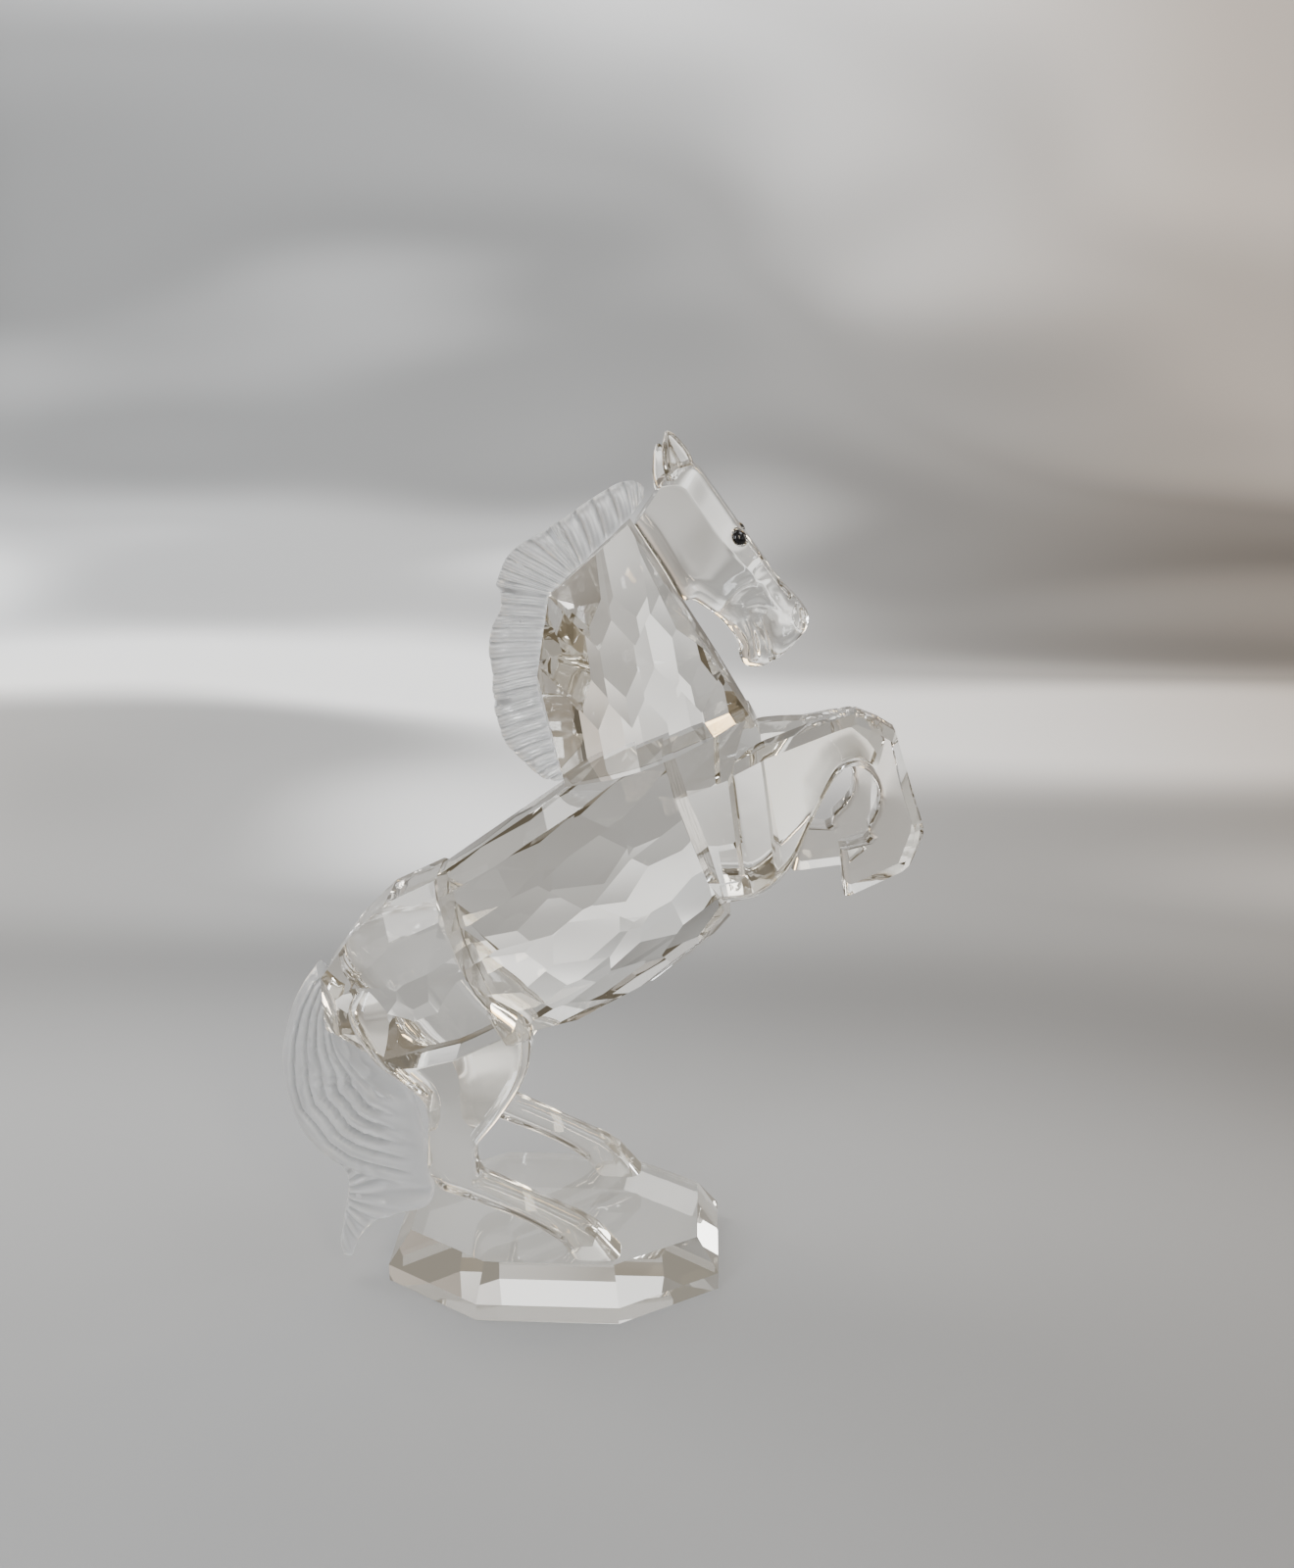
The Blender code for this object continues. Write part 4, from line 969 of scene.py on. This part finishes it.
def mane_groove(phase, u):
    """Depth of a groove as a share, at a place counted in ridges and across the lock."""
    turn_angle = 2.0 * math.pi * phase
    fold = 0.5 + 0.5 * math.cos(turn_angle + 0.7 * math.sin(turn_angle))
    strand = 0.5 + 0.5 * math.cos(MANE_STRANDS * turn_angle)
    relief = MANE_FOLD_SHARE * fold ** 1.6 + (1.0 - MANE_FOLD_SHARE) * strand
    return relief * (0.55 + 0.45 * min(1.0 + u, 1.0))


def mane_rings():
    """Rings along the four locks, each thinner in the grooves between its ridges."""
    half_section = flowing(MANE_HALF_SECTION, MANE_SECTION_STEPS)
    depth = MANE_GROOVE_DEPTH / (0.5 * MANE_THICKNESS)
    rings = []
    for lock, ridges in zip(MANE_LOCKS, MANE_RIDGES):
        rows = flowing(lock, math.ceil(ridges * MANE_ROWS_PER_RIDGE / (len(lock) - 1)))
        for i, (in_x, in_z, out_x, out_z) in enumerate(rows):
            low = grid(in_x, 0.0, in_z)
            high = grid(out_x, 0.0, out_z)
            right = []
            for u, v in half_section:
                phase = ridges * i / (len(rows) - 1) + MANE_LEAN * (u + 1.0) - MANE_BEND * (u + 1.0) ** 2
                right.append((u, v - mane_groove(phase, u) * depth * min(v / 0.5, 1.0)))
            outline = right + [(u, -v) for u, v in reversed(right)]
            rings.append(section(low, high, 0.0, 0.5 * MANE_THICKNESS, outline))
    return rings


def make_mane():
    plate = mesh_object("mane_plate", loft(mane_rings()))
    obj = combined("mane_frosted", plate, [(neck_room(), "DIFFERENCE")])
    shade(obj, 40.0)
    show(obj, frosted("frosted mane crystal", 7.0), "frosted_mane", "mane")


# Tail

TAIL_TIP = (-31.2, -4.55)

# Tail: outer edge x z, inner edge x z, distance towards the horse's right, thickness as a share
TAIL = [
    (-34.6, 40.6, -31.6, 33.6, 0.0, 0.80),
    (-36.9, 37.4, -31.6, 29.8, 0.4, 0.85),
    (-38.7, 33.6, -29.6, 26.0, 0.8, 0.95),
    (-40.3, 27.3, -24.8, 23.0, 1.5, 1.00),
    (-40.2, 22.2, -21.4, 20.2, 2.2, 1.00),
    (-39.1, 18.1, -19.9, 16.0, 3.0, 0.98),
    (-37.7, 14.8, -18.7, 11.6, 3.6, 0.96),
    (-35.1, 11.9, -18.4, 7.9, 4.2, 0.90),
    (-31.8, 9.4, -18.2, 5.1, 4.8, 0.70),
    (-30.9, 7.3, -19.4, 3.1, 5.5, 0.72),
    (-30.9, 5.7, -23.4, 2.1, 6.0, 0.66),
    (-31.4, 3.3, -26.6, 1.2, 6.5, 0.58),
    (-31.8, 0.5, -28.3, -0.1, 7.0, 0.50),
    (-32.3, -2.2, -29.6, -2.0, 7.4, 0.42),
    (TAIL_TIP[0] - 0.7, -4.3, TAIL_TIP[0] + 0.6, TAIL_TIP[1], 7.6, 0.24),
]
TAIL_POINTS = 112
TAIL_FULLNESS = 0.7
TAIL_FOLDS = 8
TAIL_FOLD_DEPTH = 0.00125
TAIL_FOLDS_END = (0.64, 0.22)   # share of the width where the folds fade out, and over how much of it
TAIL_FOLD_WIDTHS = (6.0, 16.5)
TAIL_STEPS = 11
TAIL_DEEPEST = 0.45             # deepest groove as a share of half the thickness

# Turned out end: middle of its strands, how close they lie, least depth, further depth in the grooves
TAIL_STRANDS_MIDDLE = (-33.6, 5.6)
TAIL_STRANDS = 22.0
TAIL_END_DEPTH = 0.00035
TAIL_STRAND_DEPTH = 0.00065
CREASE_SOFTNESS = 0.28

# Outer edge of the plume and the crease where its lower end turns out
TAIL_EDGE = [
    (-33.4, 40.5), (-35.5, 38.9), (-38.1, 34.3), (-39.9, 29.3),
    (-40.5, 25.5), (-40.4, 21.8), (-39.3, 17.6),
]
TAIL_CREASE = [(-37.0, 15.2), (-34.8, 12.2), (-31.3, 9.9), (-28.1, 8.8), (-24.0, 7.7), (-18.0, 6.2)]


def tail_relief(x, z, width, inwards):
    """Depth in metres of the plume's folds, and of the turned out end below the crease."""
    crease_x = np.array([point[0] for point in TAIL_CREASE])
    crease_z = np.array([point[1] for point in TAIL_CREASE])
    above = z - np.interp(x, crease_x, crease_z)
    plume = 1.0 / (1.0 + np.exp(-above / CREASE_SOFTNESS))
    phase = TAIL_FOLDS * distance(x, z, TAIL_EDGE + TAIL_CREASE) / np.clip(width, *TAIL_FOLD_WIDTHS)
    fold = 0.5 + 0.5 * np.cos(2.0 * math.pi * phase + 0.8 * np.sin(2.0 * math.pi * phase))
    start, length = TAIL_FOLDS_END
    strength = np.clip((start + length - inwards) / length, 0.0, 1.0)
    strength *= np.clip((phase + 0.1) / 0.6, 0.0, 1.0)
    dx = x - TAIL_STRANDS_MIDDLE[0]
    dz = z - TAIL_STRANDS_MIDDLE[1]
    strands = 0.5 + 0.5 * np.cos(TAIL_STRANDS * np.arctan2(dz, dx))
    lower = TAIL_END_DEPTH + TAIL_STRAND_DEPTH * strands * np.clip(dx / 2.0, 0.0, 1.0)
    return plume * TAIL_FOLD_DEPTH * fold ** 1.5 * strength + (1.0 - plume) * lower


def tail_rings():
    """Rings of the tail from the rump to the tip, oval and thinner in the folds."""
    angles = 2.0 * math.pi * (np.arange(TAIL_POINTS) + 0.5) / TAIL_POINTS
    c = np.cos(angles)
    s = np.sin(angles)
    body = np.sign(s) * np.abs(s) ** TAIL_FULLNESS
    along = 0.5 * (c + 1.0)
    rings = []
    for out_x, out_z, in_x, in_z, aside, share in flowing(TAIL, TAIL_STEPS):
        x = in_x + along * (out_x - in_x)
        z = in_z + along * (out_z - in_z)
        width = math.hypot(out_x - in_x, out_z - in_z)
        half = 0.5 * TAIL_THICKNESS * share
        depth = tail_relief(x, z, np.full(x.shape, width), 1.0 - along)
        depth = np.minimum(depth, TAIL_DEEPEST * half)
        across = body * (1.0 - depth / half)
        outline = list(zip(c.tolist(), across.tolist()))
        rings.append(section(grid(in_x, 0.0, in_z), grid(out_x, 0.0, out_z), -aside * MM, half, outline))
    return rings


def make_tail():
    plume = mesh_object("plume", loft(tail_rings()))
    planes = [(point - 0.5 * OVERLAP * normal, normal) for point, normal in rump_planes()]
    room = mesh_object("rump_room", polyhedron(planes, grid(RUMP_CENTRE[0], 0.0, RUMP_CENTRE[1])))
    obj = combined("tail_frosted", plume, [(room, "DIFFERENCE")])
    shade(obj, 50.0)
    show(obj, frosted("frosted tail crystal", 8.0), "frosted_tail", "tail")


# Eyes


def make_eye(name, side, slot):
    """Glossy bead on one side of the head."""
    obj = mesh_object(name + "_bead", eye_form(side, segments=EYE_SEGMENTS))
    obj.data.shade_smooth()
    show(obj, jet("black glass " + name), slot, name)


# Foot plate


def repaint(node, finish):
    """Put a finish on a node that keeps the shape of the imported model."""
    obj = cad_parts[node]
    obj.data.materials.clear()
    obj.data.materials.append(finish)


# Camera

camera_data = bpy.data.cameras.new("camera")
camera_data.lens = CAMERA_LENS
camera_data.sensor_width = 36.0
camera_data.sensor_fit = "AUTO"
camera_data.clip_start = 0.005
camera_data.clip_end = 10.0
camera = bpy.data.objects.new("camera", camera_data)
turn = Matrix((CAMERA_RIGHT, CAMERA_UP, -Vector(CAMERA_FORWARD))).transposed()
camera.matrix_world = Matrix.Translation(CAMERA_PLACE) @ turn.to_4x4()
bpy.context.scene.collection.objects.link(camera)
bpy.context.scene.camera = camera

# Studio: a pale cloth that rises into a backdrop, soft lights and a room with soft walls

FLOOR_NEAR = -0.75
FLOOR_FAR = 0.40
FLOOR_CURVE = 0.25
FLOOR_HALF_WIDTH = 0.75
FLOOR_DROP = 0.05 * MM          # air left under the foot plate
BACKDROP_HEIGHT = 0.95
CURVE_STEPS = 24
FIGURE_MIDDLE = (0.0, 0.0, 0.06)

# Painted light and shade in bands across the cloth, from front to back and up the backdrop: way along it in
# metres, tone
CLOTH_PAINTED_LIGHT_BANDS = (
    (-0.16, 0.12), (-0.07, 0.22), (0.02, 0.27), (0.085, 0.17), (0.15, 0.26), (0.23, 0.82), (0.36, 0.85),
    (0.47, 0.38), (0.60, 0.20), (0.74, 0.27), (0.92, 0.70), (1.10, 1.0), (1.45, 0.15),
)
CLOTH_START = -0.2
CLOTH_LENGTH = 1.8
# Painted light on the cloth's left, painted warm shade on its right
CLOTH_PAINTED_LIGHT_LEFT = (0.96, 0.98, 1.0)
CLOTH_PAINTED_SHADE_RIGHT = (0.44, 0.39, 0.345)


def pale_cloth():
    """Pale cloth painted with soft bands of light and shade in slanting, uneven lines, lit on the left and
    in warm shade on the right, dimmer out to the sides; it gives a little painted light.
    """
    made, tree, shader = new_material("pale cloth")
    shader.inputs["Roughness"].default_value = 0.7
    split = tree.nodes.new("ShaderNodeSeparateXYZ")
    tree.links.new(object_place(tree), split.inputs["Vector"])
    aside = split.outputs["X"]
    way = number(tree, "ADD", split.outputs["Y"], split.outputs["Z"])
    flat = tree.nodes.new("ShaderNodeCombineXYZ")
    tree.links.new(aside, flat.inputs["X"])
    tree.links.new(way, flat.inputs["Y"])
    drape = tree.nodes.new("ShaderNodeMapping")
    drape.inputs["Location"].default_value = (0.31, 0.02, 0.0)
    drape.inputs["Rotation"].default_value = (0.0, 0.0, math.radians(-28.0))
    drape.inputs["Scale"].default_value = (1.0, 1.7, 1.0)
    tree.links.new(flat.outputs["Vector"], drape.inputs["Vector"])
    folds = noise(tree, drape.outputs["Vector"], 2.8, detail=1.0, distortion=0.25)
    sway = number(tree, "SUBTRACT", folds, 0.5)
    sway = number(tree, "MULTIPLY", sway, span(tree, way, 0.08, 0.60, 0.02, 0.30, "SMOOTHSTEP"))
    slant = span(tree, way, 0.05, 0.55, 0.25, 0.65, "SMOOTHSTEP")
    sway = number(tree, "MULTIPLY_ADD", aside, slant, sway)
    way = number(tree, "ADD", way, sway)
    # Painted light and shade: bands of brightness along the cloth's way, swayed by the folds noise
    share = number(tree, "DIVIDE", number(tree, "SUBTRACT", way, CLOTH_START), CLOTH_LENGTH)
    stops = [((at - CLOTH_START) / CLOTH_LENGTH, (tone, tone, tone)) for at, tone in CLOTH_PAINTED_LIGHT_BANDS]
    painted_bands = colours(tree, share, stops, "EASE")
    # Painted shade: the right side darker and warmer
    right = span(tree, aside, 0.0, 1.0, -0.06, 0.32, "SMOOTHSTEP")
    painted_side_shade = colours(tree, right, ((0.0, CLOTH_PAINTED_LIGHT_LEFT), (1.0, CLOTH_PAINTED_SHADE_RIGHT)))
    # Painted falloff: darker out to the sides
    outwards = number(tree, "ABSOLUTE", aside)
    painted_falloff = span(tree, outwards, 1.0, 0.18, 0.34, 0.56, "SMOOTHSTEP")
    cloth = product(tree, product(tree, painted_bands, painted_side_shade), painted_falloff, "SCALE", "Scale")
    # The painted light and shade goes into the cloth's colour and into its glow, a painted light of its own
    tree.links.new(cloth, shader.inputs["Emission Color"])
    tree.links.new(cloth, shader.inputs["Base Color"])
    shader.inputs["Emission Strength"].default_value = 0.75
    return made


def make_stage():
    """Floor that curves up into the backdrop."""
    bm = bmesh.new()
    profile = [(FLOOR_NEAR, -FLOOR_DROP), (FLOOR_FAR, -FLOOR_DROP)]
    for i in range(1, CURVE_STEPS + 1):
        angle = 0.5 * math.pi * i / CURVE_STEPS
        profile.append((FLOOR_FAR + FLOOR_CURVE * math.sin(angle), FLOOR_CURVE * (1.0 - math.cos(angle))))
    profile.append((FLOOR_FAR + FLOOR_CURVE, BACKDROP_HEIGHT))
    rows = [[bm.verts.new((x, y, z)) for x in (-FLOOR_HALF_WIDTH, FLOOR_HALF_WIDTH)] for y, z in profile]
    for row, following in zip(rows, rows[1:]):
        bm.faces.new((row[0], row[1], following[1], following[0]))
    bmesh.ops.recalc_face_normals(bm, faces=bm.faces)
    floor = mesh_object("floor", bm)
    floor.data.shade_smooth()
    floor.data.materials.append(pale_cloth())


def soft_light(name, place, size, radiance, colour):
    """Area light that faces the figure's middle."""
    data = bpy.data.lights.new(name, "AREA")
    data.shape = "RECTANGLE"
    data.size, data.size_y = size
    data.energy = radiance * math.pi * size[0] * size[1]
    data.color = colour
    light = bpy.data.objects.new(name, data)
    light.location = place
    aim = Vector(FIGURE_MIDDLE) - Vector(place)
    light.rotation_euler = aim.to_track_quat("-Z", "Y").to_euler()
    bpy.context.scene.collection.objects.link(light)


# Soft lights: name, place, size, radiance, colour
LIGHTS = (
    ("window", (-0.50, 0.20, 0.70), (0.35, 0.5), 7.0, (1.0, 0.99, 0.97)),
    ("sky", (0.45, 0.0, 0.75), (0.3, 0.3), 6.0, (0.90, 0.94, 1.0)),
    ("low_window", (-0.60, 0.30, 0.14), (0.14, 0.24), 9.0, (0.93, 0.96, 1.0)),
    ("right_strip", (0.62, 0.28, 0.22), (0.06, 0.40), 9.0, (1.0, 0.96, 0.88)),
    ("top_left", (-0.26, 0.34, 0.74), (0.05, 0.34), 9.0, (0.96, 0.98, 1.0)),
    ("top_right", (0.24, 0.40, 0.66), (0.05, 0.30), 9.0, (1.0, 0.94, 0.84)),
    ("amber_left", (-0.40, 0.24, 0.10), (0.10, 0.16), 9.0, (1.0, 0.70, 0.34)),
    ("amber_right", (0.30, 0.44, 0.40), (0.10, 0.16), 8.0, (1.0, 0.72, 0.38)),
    ("front_left", (-0.34, -0.46, 0.26), (0.10, 0.34), 16.0, (0.88, 0.92, 1.0)),
    ("front_right", (0.30, -0.50, 0.40), (0.08, 0.40), 15.0, (1.0, 0.90, 0.74)),
)

# Tones of the room's walls, from the darkest to the brightest
WALL_TONES = ((0.40, (0.16, 0.128, 0.086)), (0.51, (0.30, 0.285, 0.265)), (0.62, (1.0, 1.0, 1.0)))


def make_room():
    """Walls round the stage, in soft patches from warm dark to white."""
    world = bpy.data.worlds.new("soft room")
    bpy.context.scene.world = world
    world.use_nodes = True
    tree = world.node_tree
    background = tree.nodes["Background"]
    background.inputs["Strength"].default_value = 1.0
    direction = tree.nodes.new("ShaderNodeTexCoord").outputs["Generated"]
    walls = noise(tree, direction, 2.6, detail=1.5)
    tree.links.new(colours(tree, walls, WALL_TONES), background.inputs["Color"])


make_stage()
for light in LIGHTS:
    soft_light(*light)
make_room()

# Pieces

# The foot plate gets the strongest painted glow, in place of the light that would reach the floor through
# it
repaint("base", crystal("foot plate crystal", 1.0, glow=FOOT_PLATE_PAINTED_GLOW))
make_body()
make_neck()
make_hindquarters()
make_forelegs()
make_head()
make_mane()
make_tail()
make_eye("eye_left", 1.0, "jet_left")
make_eye("eye_right", -1.0, "jet_right")
